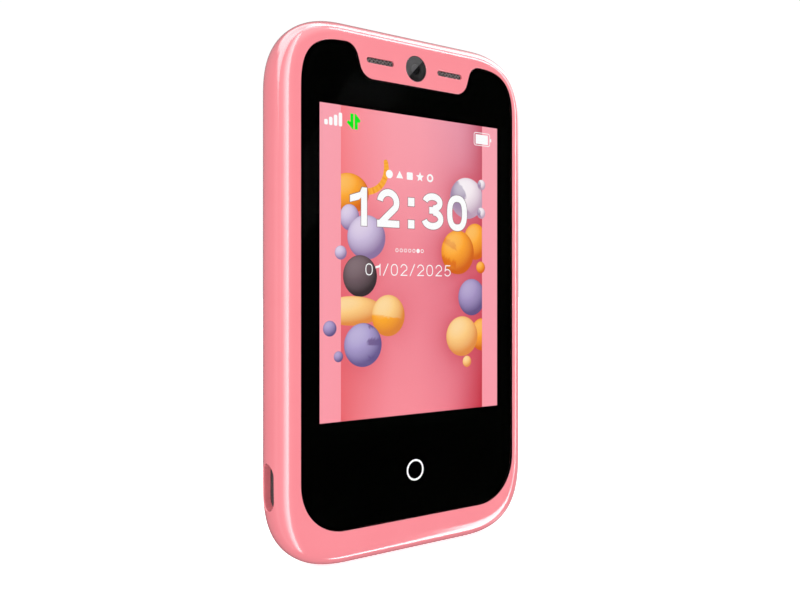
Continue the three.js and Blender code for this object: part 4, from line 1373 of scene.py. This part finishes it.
def draw_figure(char, x, z, height, width, stroke, color, grow):
    """One figure, made wider by grow all round; width and stroke are in figure heights."""
    if char == ":":
        dot = stroke * 1.18 * height
        left = x + (width * height - dot) / 2 - grow
        right = left + dot + 2 * grow
        for rise in (0.0, 0.60):
            foot = z + rise * height - grow
            top = foot + dot * 1.05 + 2 * grow
            pic.poly([(left, foot), (right, foot), (right, top), (left, top)], color)
    elif char == "1":
        thick = stroke * height
        right = x + width * height
        left = right - thick
        outline = [
            (left - grow, z - grow),
            (right + grow, z - grow),
            (right + grow, z + height + grow),
            (left + thick * 0.16 - grow, z + height + grow),
            (left - thick * 0.22 - grow, z + height * 0.87 + grow),
            (x - grow, z + height * 0.775 + grow),
            (x - grow, z + height * 0.60 - grow),
            (left - thick * 0.35 - grow, z + height * 0.675 - grow),
            (left - grow, z + height * 0.735 - grow),
        ]
        pic.poly(outline, color)
    else:
        for line, closed in digit_lines(char, width, stroke):
            points = np.array([(x + a * height, z + b * height) for a, b in line], float)
            if grow and not closed:
                for end, before in ((0, 1), (-1, -2)):
                    along = points[end] - points[before]
                    points[end] = points[end] + along / np.linalg.norm(along) * grow
            pic.stroke(points, stroke * height + 2 * grow, color, closed)


def draw_figures(text, x, z, height, widths, gaps, stroke, layers):
    """A row of figures, once for each (color, grow) layer; gaps follow each figure."""
    for color, grow in layers:
        pic.level()
        at = x
        for char, width, gap in zip(text, widths, gaps):
            draw_figure(char, at, z, height, width, stroke, color, grow)
            at += (width + gap) * height


draw_figures(
    "12:30", x=-15.0714, z=12.4357, height=7.142857,
    widths=[0.53, 0.73, 0.22, 0.77, 0.73], gaps=[0.32, 0.29, 0.25, 0.13, 0],
    stroke=0.185, layers=[(srgb(120, 96, 100), 0.10), (WHITE, 0.0)],
)

# ---- marks above and below the clock
MARKS_Z = 22.5071
DISC_X, TRIANGLE_X, SQUARE_X, STAR_X, CIRCLE_X = -6.1429, -3.7143, -1.2857, 1.2143, 3.7143
pic.ball(DISC_X, MARKS_Z, 0.80, 0.80, plain_white, rings=2, seg=28)
triangle = []
for a in (math.pi / 2, math.pi * 7 / 6, math.pi * 11 / 6):
    triangle.append((TRIANGLE_X + 0.95 * math.cos(a), MARKS_Z - 0.12 + 0.95 * math.sin(a)))
pic.poly(triangle, WHITE)
square = round_rect(SQUARE_X - 0.72, SQUARE_X + 0.72, MARKS_Z - 0.72, MARKS_Z + 0.72, 0.2, 4)
pic.poly(square, WHITE)
star = []
for k in range(10):
    r, a = (0.46 if k % 2 else 1.0), math.pi * k / 5
    star.append((STAR_X + r * math.sin(a), MARKS_Z + r * math.cos(a)))
pic.poly(star, WHITE)
pic.stroke(circle(CIRCLE_X, MARKS_Z, 0.62, 32), 0.36, WHITE, True)
# seven day marks, the sixth one filled
DAYS_X, DAYS_Z, DAY_PITCH = -4.3571, 8.15, 1.02
for k in range(7):
    x = DAYS_X + k * DAY_PITCH
    if k == 5:
        pic.ball(x, DAYS_Z, 0.42, 0.42, plain_white, raised=False, rings=2, seg=24)
    else:
        pic.stroke(circle(x, DAYS_Z, 0.30, 24), 0.12, WHITE, True)
# date in thin figures, fitted to its length
DATE, DATE_HEIGHT, DATE_LENGTH, DATE_GAP = "01/02/2025", 2.214286, 20.642857, 0.235
widths = [0.42 if char in "/1" else 0.60 for char in DATE]
fit = DATE_LENGTH / ((sum(widths) + DATE_GAP * (len(DATE) - 1)) * DATE_HEIGHT)
draw_figures(
    DATE, x=-11.6429, z=3.2929, height=DATE_HEIGHT, widths=[w * fit for w in widths],
    gaps=[DATE_GAP * fit] * len(DATE), stroke=0.085, layers=[(WHITE, 0.0)],
)

# ---- status marks along the top
BARS_Z = 30.2929
for k, x in enumerate((-20.6071, -19.6071, -18.5714, -17.5357)):
    pic.poly(round_rect(x, x + 0.75, BARS_Z, BARS_Z + 1.0 + 0.5 * k, 0.28, 5), WHITE)
ARROW_FOOT, ARROW_TOP = 30.0786, 32.9357
DOWN_ARROW = [
    (-14.2857, ARROW_TOP), (-14.2857, ARROW_FOOT), (-14.5714, ARROW_FOOT), (-15.7857, 31.2214),
    (-15.4286, 31.65), (-15.0, 31.3643), (-15.0, ARROW_TOP),
]
UP_ARROW = [
    (-14.0714, ARROW_FOOT), (-14.0714, ARROW_TOP), (-13.7857, ARROW_TOP), (-12.7143, 31.7929),
    (-13.0714, 31.2929), (-13.3571, 31.5071), (-13.3571, ARROW_FOOT),
]
for arrow in (DOWN_ARROW, UP_ARROW):
    pic.poly(arrow, srgb(10, 232, 24))
# battery: case, charge and terminal
pic.level()
pic.stroke(round_rect(15.2143, 19.5, 30.2214, 32.7929, 0.45, 6), 0.13, WHITE, True)
pic.poly(round_rect(15.6429, 19.0, 30.5071, 32.4357, 0.12, 4), WHITE)
pic.poly(round_rect(19.6071, 19.9286, 31.15, 31.8643, 0.14, 4), WHITE)

picture = new_object("display_picture", [(x + SEEN, y, z) for x, y, z in pic.verts], pic.faces)
tint = picture.data.color_attributes.new("Tint", "FLOAT_COLOR", "POINT")
tint.data.foreach_set("color", np.array(pic.colors, np.float32).ravel())


def display_light():
    """The picture's own light, dimmed by a fine square grid."""
    grid_pitch = 0.00018
    mat = Material(
        "display_light", Base_Color=grey(0.004), Specular_IOR_Level=0.1, Roughness=0.6,
        Emission_Strength=1.07,
    )
    color = mat.make("ShaderNodeVertexColor", {}, "Color", layer_name="Tint")
    x, _, z = mat.xyz()
    row_wave = mat.math("SINE", z * (2 * math.pi / grid_pitch))
    column_wave = mat.math("SINE", x * (2 * math.pi / grid_pitch))
    wave = mat.math("MAXIMUM", row_wave, column_wave)
    grid = mat.ramp(wave, over=(0.7, 1.0), to=(1.0, 0.965))
    mat.set(Emission_Color=mat.mix(1.0, color, grid, blend="MULTIPLY"))
    return mat


piece(picture, display_light())


# ---- camera materials
def painted_reflection_half(mat, dx, dz):
    """1 on the upper left half of the camera window, where a reflection is painted, 0 on the other.
    """
    return mat.ramp(dz * 0.70 - dx * 0.72, over=(-0.00005, 0.00005))


def camera_print():
    mat = Material("camera_print", Specular_IOR_Level=0.03)
    x, _, z = mat.xyz()
    painted_sheen = painted_reflection_half(mat, x, z - cam[2] * MM)
    grain = mat.noise(4000.0)
    # dark grey print, and a lighter copy of it for the half with the painted reflection
    dark = mat.blend(grain, rgb(0.022, 0.021, 0.022), rgb(0.025, 0.024, 0.025))
    lit = mat.blend(grain, rgb(0.098, 0.096, 0.100), rgb(0.105, 0.103, 0.107))
    mat.set(
        Base_Color=mat.mix(painted_sheen, dark, lit),
        Roughness=mat.mottle(2500.0, to=(0.5, 0.6)),
        Normal=mat.grain(9000.0, strength=0.3, depth=0.003),
    )
    return mat


def lens_coating(name, at=None, specular=0.3):
    """Near-black lens; one placed at a window gets a painted reflection on its upper left half and
    two faint rings of painted glints.
    """
    mat = Material(name, IOR=1.5, Specular_IOR_Level=specular)
    base = mat.tones(3000.0, rgb(0.0015, 0.0015, 0.002), rgb(0.003, 0.003, 0.004))
    if at is not None:
        x, _, z = mat.xyz()
        dx, dz = x - at[0] * MM, z - at[2] * MM
        half = painted_reflection_half(mat, dx, dz)
        radius = mat.math("SQRT", dx * dx + dz * dz)
        # two faint rings of painted glints, on the upper part of the lens only
        outer = mat.band(radius, rise=(0.00074, 0.00080), fall=(0.00086, 0.00092))
        inner = mat.band(radius, rise=(0.00036, 0.00042), fall=(0.00048, 0.00054))
        rings = (outer + inner) * mat.ramp(dz, over=(-0.0001, 0.0006))
        # painted reflection: lighter lens and brighter glints on the upper left half, faint glints
        # over near-black on the other
        lit = mat.mix(rings, rgb(0.108, 0.106, 0.110), rgb(0.16, 0.16, 0.165))
        dim = mat.mix(rings, base, rgb(0.010, 0.010, 0.011))
        base = mat.mix(half, dim, lit)
    mat.set(Base_Color=base, Roughness=mat.mottle(2000.0, to=(0.05, 0.12)))
    return mat


CAMERA_PRINT_AND_REFLECTION = camera_print()
CAMERA_SMEAR = dict(scale=500.0, detail=4.0, over=(0.4, 0.8), to=(0.0, 0.03))
CAMERA_GLASS = clear_glass("camera_glass", rgb(0.97, 0.97, 0.98), ior=1.46, **CAMERA_SMEAR)
COATED_GLASS = clear_glass("coated_camera_glass", grey(0.98), ior=1.18, **CAMERA_SMEAR)
LENS = lens_coating("lens_coating")
FRONT_LENS = lens_coating("front_lens_coating", at=cam, specular=0.02)
BARREL = moulded(
    "lens_barrel", (0.016, 0.016, 0.017), rough=0.4, spread=0.15, grain=4000.0, depth=0.004
)


def dome(radius, y, depth, last, count):
    """(radius, y) of a lens face from its axis out."""
    angles = np.linspace(0.12, last, count)
    face = [(radius * math.sin(a), y + depth * (1 - math.cos(a))) for a in angles]
    return [(0, y)] + face


# ---- front camera
front, back = cam_low[1], cam_high[1]
WINDOW_PROFILE = [
    (0, front), (cam_r - 0.10, front), (cam_r - 0.04, front + 0.018),
    (cam_r - 0.005, front + 0.06), (cam_r - 0.005, front + 0.20), (0, front + 0.20),
]
PRINT_PROFILE = [
    (1.20, front + 0.205), (1.14, front + 0.215), (1.10, front + 0.26), (1.10, back),
    (cam_r - 0.01, back), (cam_r - 0.01, front + 0.205),
]
LENS_PROFILE = dome(0.98, front + 0.23, depth=0.14, last=1.4, count=11)
LENS_PROFILE += [(0.98, front + 0.40), (1.09, front + 0.41), (1.09, back - 0.02), (0, back - 0.02)]
window = lathe_y("front_camera_lens_cover", cam[0], cam[2], WINDOW_PROFILE, 96)
piece(shade(window), COATED_GLASS, "front_camera_window")
print_ring = lathe_y("front_camera_print_ring", cam[0], cam[2], PRINT_PROFILE, 96)
piece(shade(print_ring, 25), CAMERA_PRINT_AND_REFLECTION)
lens = lathe_y("front_camera_lens", cam[0], cam[2], LENS_PROFILE)
piece(shade(lens), FRONT_LENS)

# ---- rear camera
TRIM = brushed_metal(
    "camera_trim", (0.86, 0.52, 0.53), rough=0.2, along="y", stretch=6.0, scratch=0.12
)
TRIM_OUT, TRIM_LIP, TRIM_BACK = 4.80, 4.22, 5.30
TRIM_EDGE = 0.16
quarter = np.linspace(0.2, math.pi / 2, 6)
profile = [(3.90, 4.60), (3.50, 4.60), (3.50, 3.60), (5.40, 3.60), (5.40, 3.95)]
profile += [(TRIM_OUT, 3.95), (TRIM_OUT, 5.14)]
profile += [
    (TRIM_OUT - TRIM_EDGE * (1 - math.cos(a)), 5.14 + TRIM_EDGE * math.sin(a)) for a in quarter
]
profile += [(TRIM_LIP, TRIM_BACK)]
profile += [(TRIM_LIP - 0.30 * math.sin(a), TRIM_BACK - 0.14 * (1 - math.cos(a))) for a in quarter]
trim = lathe_y("rear_camera_trim", rear_x, rear_z, profile, 128)
piece(shade(trim, 28), TRIM, "rear_camera_ring")

low, high = box("rear_camera_window")
front, back = low[1], high[1]
window_r = (high[0] - low[0]) / 2
profile = [
    (0, back - 0.22), (window_r, back - 0.22), (window_r, back - 0.10),
    (window_r - 0.03, back - 0.03), (window_r - 0.12, back), (0, back),
]
window = lathe_y("rear_camera_lens_cover", rear_x, rear_z, profile, 96)
piece(shade(window), COATED_GLASS, "rear_camera_window")
profile = [
    (window_r - 0.02, back - 0.23), (2.55, back - 0.23), (2.45, back - 0.30), (2.05, back - 0.32),
    (1.98, back - 0.40), (1.60, back - 0.42), (1.60, front), (window_r - 0.02, front),
]
print_ring = lathe_y("rear_camera_print_ring", rear_x, rear_z, profile, 128)
piece(shade(print_ring, 25), BARREL)
profile = dome(1.58, back - 0.27, depth=-0.16, last=1.3, count=9)
profile += [(1.58, front + 0.01), (0, front + 0.01)]
lens = lathe_y("rear_camera_lens", rear_x, rear_z, profile, 96)
piece(shade(lens), LENS)

# ---- charging socket
RUBBER = moulded("gasket_rubber", (0.034, 0.024, 0.025), rough=0.62, spread=0.12, grain=3000.0)
SOCKET = brushed_metal("socket_metal", (0.10, 0.095, 0.097), rough=0.55, stretch=20.0, scratch=0.2)
TONGUE = moulded("socket_tongue", (0.016, 0.016, 0.017), rough=0.5, spread=0.15, grain=2600.0)
GOLD = brushed_metal("contact_gold", (0.83, 0.62, 0.26), rough=0.25, stretch=10.0, scratch=0.1)


def port_stadium(long, wide, seg=24):
    return stadium(port_y, port_z, long, wide, "y", seg)


rows = [(-0.06, mouth), (0, mouth + 0.06), (0, -26.66), (-0.06, -26.6)]
gasket = prism_x("port_gasket_part", port_stadium(9.2, 5.0), rows)
hole = prism_x("hole", port_stadium(7.7, 3.05), hole_rows(mouth, 0.22, -26, before=0.5))
carve(gasket, cuts=[hole])
piece(gasket, RUBBER, "port_gasket")

low, high = box("port_shell")
start, end = low[0], high[0]
rows = [(-0.08, start), (-0.02, start + 0.03), (0, start + 0.08), (0, end)]
sleeve = prism_x("port_shell_part", port_stadium(7.5, 2.85), rows)
rows = hole_rows(start, 0.12, end + 0.5, before=0.3, steps=3)
carve(sleeve, cuts=[prism_x("hole", port_stadium(7.0, 2.35), rows)])
piece(sleeve, SOCKET, "port_shell")

low, high = box("port_tongue")
tip = low[0]
tongue = prism_x("port_tongue_part", port_stadium(6.8, 2.15, 20), [(0, -24.6), (0, high[0])])
outline = round_rect(port_y - 0.32, port_y + 0.32, port_z - 2.6, port_z + 2.6, 0.10, 5)
rows = [(-0.09, tip), (-0.02, tip + 0.05), (0, tip + 0.14), (0, -24.3)]
carve(tongue, joins=[prism_x("blade", outline, rows)])
piece(tongue, TONGUE, "port_tongue")

CONTACT_PITCH = 0.78
pads = []
for side in (-1, 1):
    y = port_y + side * 0.315
    for k in range(6):
        z = port_z + (k - 2.5) * CONTACT_PITCH
        outline = round_rect(y - 0.02, y + 0.02, z - 0.17, z + 0.17, 0.012, 2)
        pads.append(prism_x("pad", outline, [(0, tip + 0.35), (0, tip + 2.4)]))
piece(shade(joined("port_contacts", pads)), GOLD)

# ---- side keys
KEY_SHOULDER, KEY_ROUND = 0.42, 0.34
KEY_CROWN = ((-0.50, 0.055), (-0.68, 0.030), (-0.86, 0.012), (-0.98, 0.003), (-1.03, 0))
for key, (y, z) in key_at.items():
    low, high = box(key + "_key")
    base, tip = low[0], high[0]
    rows = [(0, 26.2), (0, tip - KEY_SHOULDER)]
    for i in range(1, 8):
        a = math.pi / 2 * i / 7
        rise = KEY_ROUND * math.sin(a)
        rows.append((-KEY_ROUND * (1 - math.cos(a)), tip - KEY_SHOULDER + rise))
    rows += [(out, tip - below) for out, below in KEY_CROWN]
    cap = prism_x(key + "_key_cap", stadium(y, z, KEY_LONG, KEY_WIDE, "y", 24), rows)
    outline = round_rect(y - 1.5, y + 1.5, z - 5.0, z + 5.0, 0.3, 4)
    flange = prism_x("flange", outline, [(0, base), (0, base + 0.38)])
    carve(cap, joins=[flange], angle=40)
    piece(cap, PINK_KEY, key + "_key", body=key + "_key")

# ---- card tray
line = stadium(tray_y, tray_z, TRAY_LONG, TRAY_WIDE, "y", 24)
rings = []
for out, depth in [(1.22, 0), (1.0, 0), (0.7, 0), (0.4, 0)] + fillet(0.10):
    points = offset(line, -out)
    rings.append(ring_x(points, side_x(points, 1) - depth))
rings.append(ring_x(line, 27.25))
tray = loft("sim_tray_part", rings)
outline = round_rect(0.14, 1.04, tray_z - 6.6, tray_z + 6.6, 0.08, 3)
plate = prism_x("plate", outline, [(0, box("sim_tray")[0][0]), (0, 27.7)])
nest = round_rect(11.5, 20.5, tray_z - 6.25, tray_z + 6.25, 0.4, 4)
opening = round_rect(12.8, 19.2, tray_z - 4.6, tray_z + 4.6, 0.4, 4)
pinhole = circle(tray_y, tray_z - 5.3, 0.45, 32)
cuts = [
    block_y("nest", nest, 0.34, 2),
    block_y("open", opening, -1, 2),
    prism_side("pinhole", pinhole, fillet(0.07, 3), 1, end=26.9),
]
carve(tray, joins=[plate], cuts=cuts)
piece(tray, PINK_KEY, "sim_tray", body="sim_tray")

# ---- card, with one corner cut off, and its contacts
CARD = moulded("card_plastic", (0.86, 0.86, 0.83), rough=0.35, spread=0.03, grain=900.0, depth=0.003)
CARD_CUT = 1.6
(x0, y0, z0), (x1, y1, z1) = box("sim_card")
outline = np.array([(x0, z0), (x1 - CARD_CUT, z0), (x1, z0 + CARD_CUT), (x1, z1), (x0, z1)])
card = block_y("sim_card_part", outline, y0, y1)
piece(shade(card), CARD, "sim_card", body="sim_tray")
contacts = []
for i in range(2):
    for j in range(3):
        x = (x0 + x1) / 2 - 1.4 + 2.8 * i
        z = tray_z + (j - 1) * 2.5
        outline = round_rect(x - 1.25, x + 1.25, z - 1.1, z + 1.1, 0.25, 3)
        contacts.append(block_y("c", outline, y0 - 0.02, y0 + 0.05))
piece(shade(joined("sim_card_contacts", contacts)), GOLD, body="sim_tray")

# ---- the inner parts keep their CAD shapes
by_slot = {
    "circuit_board": circuit_board(),
    "flex_film": flex_film(),
    "battery_foil": battery_foil(),
    "adhesive": moulded(
        "adhesive_foam", (0.03, 0.03, 0.031), rough=0.85, spread=0.2, grain=1400.0, depth=0.03
    ),
    "display": moulded(
        "display_sandwich", (0.02, 0.02, 0.025),
        rough=0.12, spread=0.2, grain=2000.0, depth=0.002, coat=0.5,
    ),
    "light_guide": moulded(
        "light_guide", (0.88, 0.88, 0.86), rough=0.5, spread=0.03, grain=1500.0, depth=0.004
    ),
    "stamped_steel": brushed_metal(
        "stamped_steel", (0.62, 0.63, 0.65), rough=0.3, along="z", stretch=30.0, scratch=0.2
    ),
    "screw_steel": STEEL,
    "lead_insulation": moulded(
        "lead_sleeve", (0.72, 0.66, 0.57), rough=0.55, spread=0.06, grain=1500.0
    ),
    "black_plastic": moulded(
        "black_plastic", (0.018, 0.018, 0.020), rough=0.5, spread=0.2, grain=2200.0, depth=0.008
    ),
    "antenna_brass": GOLD,
    "dense_metal": brushed_metal(
        "dense_metal", (0.30, 0.30, 0.32), rough=0.38, along="z", stretch=8.0, scratch=0.3
    ),
    "card_plastic": CARD,
    "woven_mesh": MESH,
    "black_print": PRINT,
    "camera_glass": CAMERA_GLASS,
    "cover_glass": GLASS,
    "pink_shell": PINK,
    "port_metal": SOCKET,
    "gasket_rubber": RUBBER,
    "camera_trim": TRIM,
}
slot_of = {part["node"]: part["material_slot"] for part in frame["record"]["subparts"]}
for name, obj in frame["nodes"].items():
    if not obj.hide_render:
        obj.data.materials.clear()
        obj.data.materials.append(by_slot[slot_of[name]].material)

# ---- camera
VIEW = (0.599, 0.801)  # X and Y of the direction the camera looks in
scene = bpy.context.scene
camera_data = bpy.data.cameras.new("camera")
camera = bpy.data.objects.new("camera", camera_data)
scene.collection.objects.link(camera)
camera.location = Vector((-103.7, -138.7, 0.15)) * MM
camera.rotation_mode = "QUATERNION"
camera.rotation_quaternion = Vector((*VIEW, 0.0)).to_track_quat("-Z", "Y")
camera_data.sensor_width = 36
camera_data.lens = 39.42
camera_data.shift_y = -0.00975
camera_data.clip_start = 0.01
camera_data.clip_end = 100
scene.camera = camera
scene.view_settings.view_transform = "Standard"

# ---- floor: one wide flat sheet just under the phone, in metres
FLOOR_HALF, FLOOR_CELLS = 6.0, 24
floor_z = -HALF_HEIGHT * MM - 0.00005
line = [-FLOOR_HALF + 2 * FLOOR_HALF * i / FLOOR_CELLS for i in range(FLOOR_CELLS + 1)]
across = FLOOR_CELLS + 1
corners = [j * across + i for j in range(FLOOR_CELLS) for i in range(FLOOR_CELLS)]
mesh = bpy.data.meshes.new("floor")
mesh.from_pydata(
    [(x, y, floor_z) for y in line for x in line],
    [],
    [(a, a + 1, a + across + 1, a + across) for a in corners],
)
floor = bpy.data.objects.new("floor", mesh)
scene.collection.objects.link(floor)
PAPER = Material(
    "floor_paper", Roughness=0.9, Specular_IOR_Level=0.0,
    Emission_Color=grey(1), Emission_Strength=0.62,
)
PAPER.set(Base_Color=PAPER.tones(6.0, grey(0.90), grey(0.92)))
floor.data.materials.append(PAPER.material)
floor.visible_glossy = False
floor.visible_diffuse = False
floor.visible_transmission = False
floor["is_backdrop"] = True

# ---- studio light, all in the world
# The reflections are laid out by how far the reflecting surface turns away from the screen's
# plane: the normal that would send the view this way is found, its turn is eased by a few
# degrees, and the view is reflected again. Angles are in degrees; azimuth 0 is straight out
# from the screen and grows to +X.
DEGREES = 180 / math.pi
# turn, easing
EASING = [
    (0, 0), (5, 1.0), (10, 1.8), (15.5, 2.5), (26.5, 3.5), (35, 4.0), (48.5, 4.5), (180, 4.5),
]
# azimuth, strength of the tall soft-edged strip beside the camera
STRIP = [
    (-112, 0), (-92, 0.55), (-80, 0.25), (-66, 0.6), (-59, 0.9), (-54, 1.9), (-48, 3.6),
    (-40, 5.6), (-33, 7.2), (-30, 7.2), (-26, 3.0), (-23, 0.7), (-12, 0.25), (0, 0.0),
]
# elevation, middle azimuth of the thin strip at the right, which leans in at the top
THIN_MIDDLE = [
    (-90, 66), (-49, 66), (-42, 61), (-33, 56), (-24, 50.5), (-16, 48), (-12.5, 48.5),
    (-10.5, 58), (-9, 64.5), (-6, 65.8), (18, 65.8), (28, 62), (45, 55.8), (62, 49.5), (90, 40),
]
# elevation, extra half width of the thin strip
THIN_WIDEN = [
    (-90, 3), (-50, 3), (-40, 4), (-30, 5), (-18, 5), (-12, 1), (-9, 0), (25, 0), (50, 3), (90, 3),
]
# azimuth, strength of the panel behind the thin strip
PANEL = [
    (68, 0), (74, 5.5), (80, 6.5), (92, 6.0), (97, 3.0), (106, 1.2), (118, 0.3), (130, 0),
]
# azimuth, elevation of the overhead canopy's edge, which comes down at the left
CANOPY_EDGE = [
    (-180, 48), (-165, 46), (-110, 38), (-92, 20), (-84, 8), (-78, 10), (-72, 60), (-55, 75),
    (-20, 76), (30, 74), (48, 64), (62, 66), (100, 63), (128, 62), (150, 60), (170, 54), (180, 48),
]
# azimuth, strength of the canopy
CANOPY_STRENGTH = [
    (-180, 2.2), (-160, 2.6), (-130, 3.8), (-105, 4.8), (-85, 4.8), (-60, 3.0), (-20, 2.5),
    (40, 1.8), (62, 2.4), (80, 5), (120, 4.8), (150, 2.4), (180, 2.2),
]

world = bpy.data.worlds.new("studio")
scene.world = world
world.use_nodes = True
world.cycles.sampling_method = "NONE"
sky = Nodes(world.node_tree)
sky.tree.nodes.clear()
output = sky.new("ShaderNodeOutputWorld", {})
x, y, z = sky.xyz(sky.make("ShaderNodeTexCoord", {}, "Generated"))
toward = y * -1.0  # towards the screen side

# the normal, its turn, and the eased reflection
nx, ny = x - VIEW[0], y - VIEW[1]
flat = nx * nx + z * z
length = sky.math("SQRT", flat + ny * ny)
flat = sky.math("MAXIMUM", sky.math("SQRT", flat), 0.0001)
turn = sky.math("ARCCOSINE", (ny * -1.0) / sky.math("MAXIMUM", length, 0.0001)) * DEGREES
eased = (turn - sky.curve(turn, EASING)) * (math.pi / 180)
part = sky.math("SINE", eased) / flat
nx, nz = nx * part, z * part
ny = sky.math("COSINE", eased) * -1.0
twice = (nx * VIEW[0] + ny * VIEW[1]) * -2.0
out_x = nx * twice + VIEW[0]
out_y = ny * twice + VIEW[1]
out_z = sky.math("MINIMUM", sky.math("MAXIMUM", nz * twice, -1.0), 1.0)
azimuth = sky.math("ARCTAN2", out_x, out_y * -1.0) * DEGREES
elevation = sky.math("ARCSINE", out_z) * DEGREES
azimuth_true = sky.math("ARCTAN2", x, toward) * DEGREES
steepness = sky.math("ABSOLUTE", elevation)

strip = sky.curve(azimuth, STRIP) * sky.band(elevation, rise=(-80, -70), fall=(72, 78))

from_middle = sky.math("ABSOLUTE", azimuth - sky.curve(elevation, THIN_MIDDLE))
off_strip = from_middle - sky.curve(elevation, THIN_WIDEN)
thin_strip = (
    sky.ramp(off_strip, over=(1.8, 4.8), to=(1.0, 0.0))
    * sky.ramp(azimuth_true, over=(44.6, 46.2))
    * sky.band(elevation, rise=(-68, -62), fall=(54, 62))
    * 7.5  # strength
)

# the panel ends above the floor, and is dimmer and moved round where the view is level
panel_azimuth = azimuth - sky.ramp(steepness, over=(24, 36), to=(14.0, 0.0))
panel = sky.curve(panel_azimuth, PANEL) * (
    sky.ramp(elevation, over=(-44, -36))
    * sky.ramp(elevation, over=(4, 22), to=(0.12, 1.0))
    * sky.ramp(steepness, over=(24, 36), to=(0.45, 1.0))
)

canopy_edge = sky.curve(azimuth, CANOPY_EDGE)
canopy_strength = sky.curve(azimuth, CANOPY_STRENGTH)
canopy = sky.ramp(elevation - canopy_edge, over=(-1, 9)) * canopy_strength

high_glow = sky.ramp(elevation, over=(34, 64)) * sky.band(azimuth, rise=(-40, -10), fall=(45, 60))
high_glow = high_glow * 1.4  # strength
room = sky.ramp(elevation, over=(-20, 40), to=(0.12, 0.24))
glossy = strip + thin_strip + sky.math("MAXIMUM", panel, canopy) + high_glow + room

# soft light for the matt side of things: even, but weaker from behind and below left
behind = toward * -1.0
below_left = x * -0.8 - z * 0.6
weaker = sky.ramp(behind, over=(-0.1, 0.8)) * sky.ramp(below_left, over=(-0.6, 0.8), to=(0.08, 0.30))
diffuse = 1.10 - weaker

CAMERA_SEES = 1.02  # level of the plain backdrop
path = sky.new("ShaderNodeLightPath", {})
level = sky.choose(Value(sky, path.outputs["Is Glossy Ray"]), diffuse, glossy)
final = sky.choose(Value(sky, path.outputs["Is Camera Ray"]), level, CAMERA_SEES)
background = sky.make("ShaderNodeBackground", {"Color": grey(1), "Strength": final})
sky.put(output.inputs["Surface"], background)

low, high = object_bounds()
{"cad": [list(CAD_BOUNDS[0]), list(CAD_BOUNDS[1])], "visual": [list(low), list(high)]}
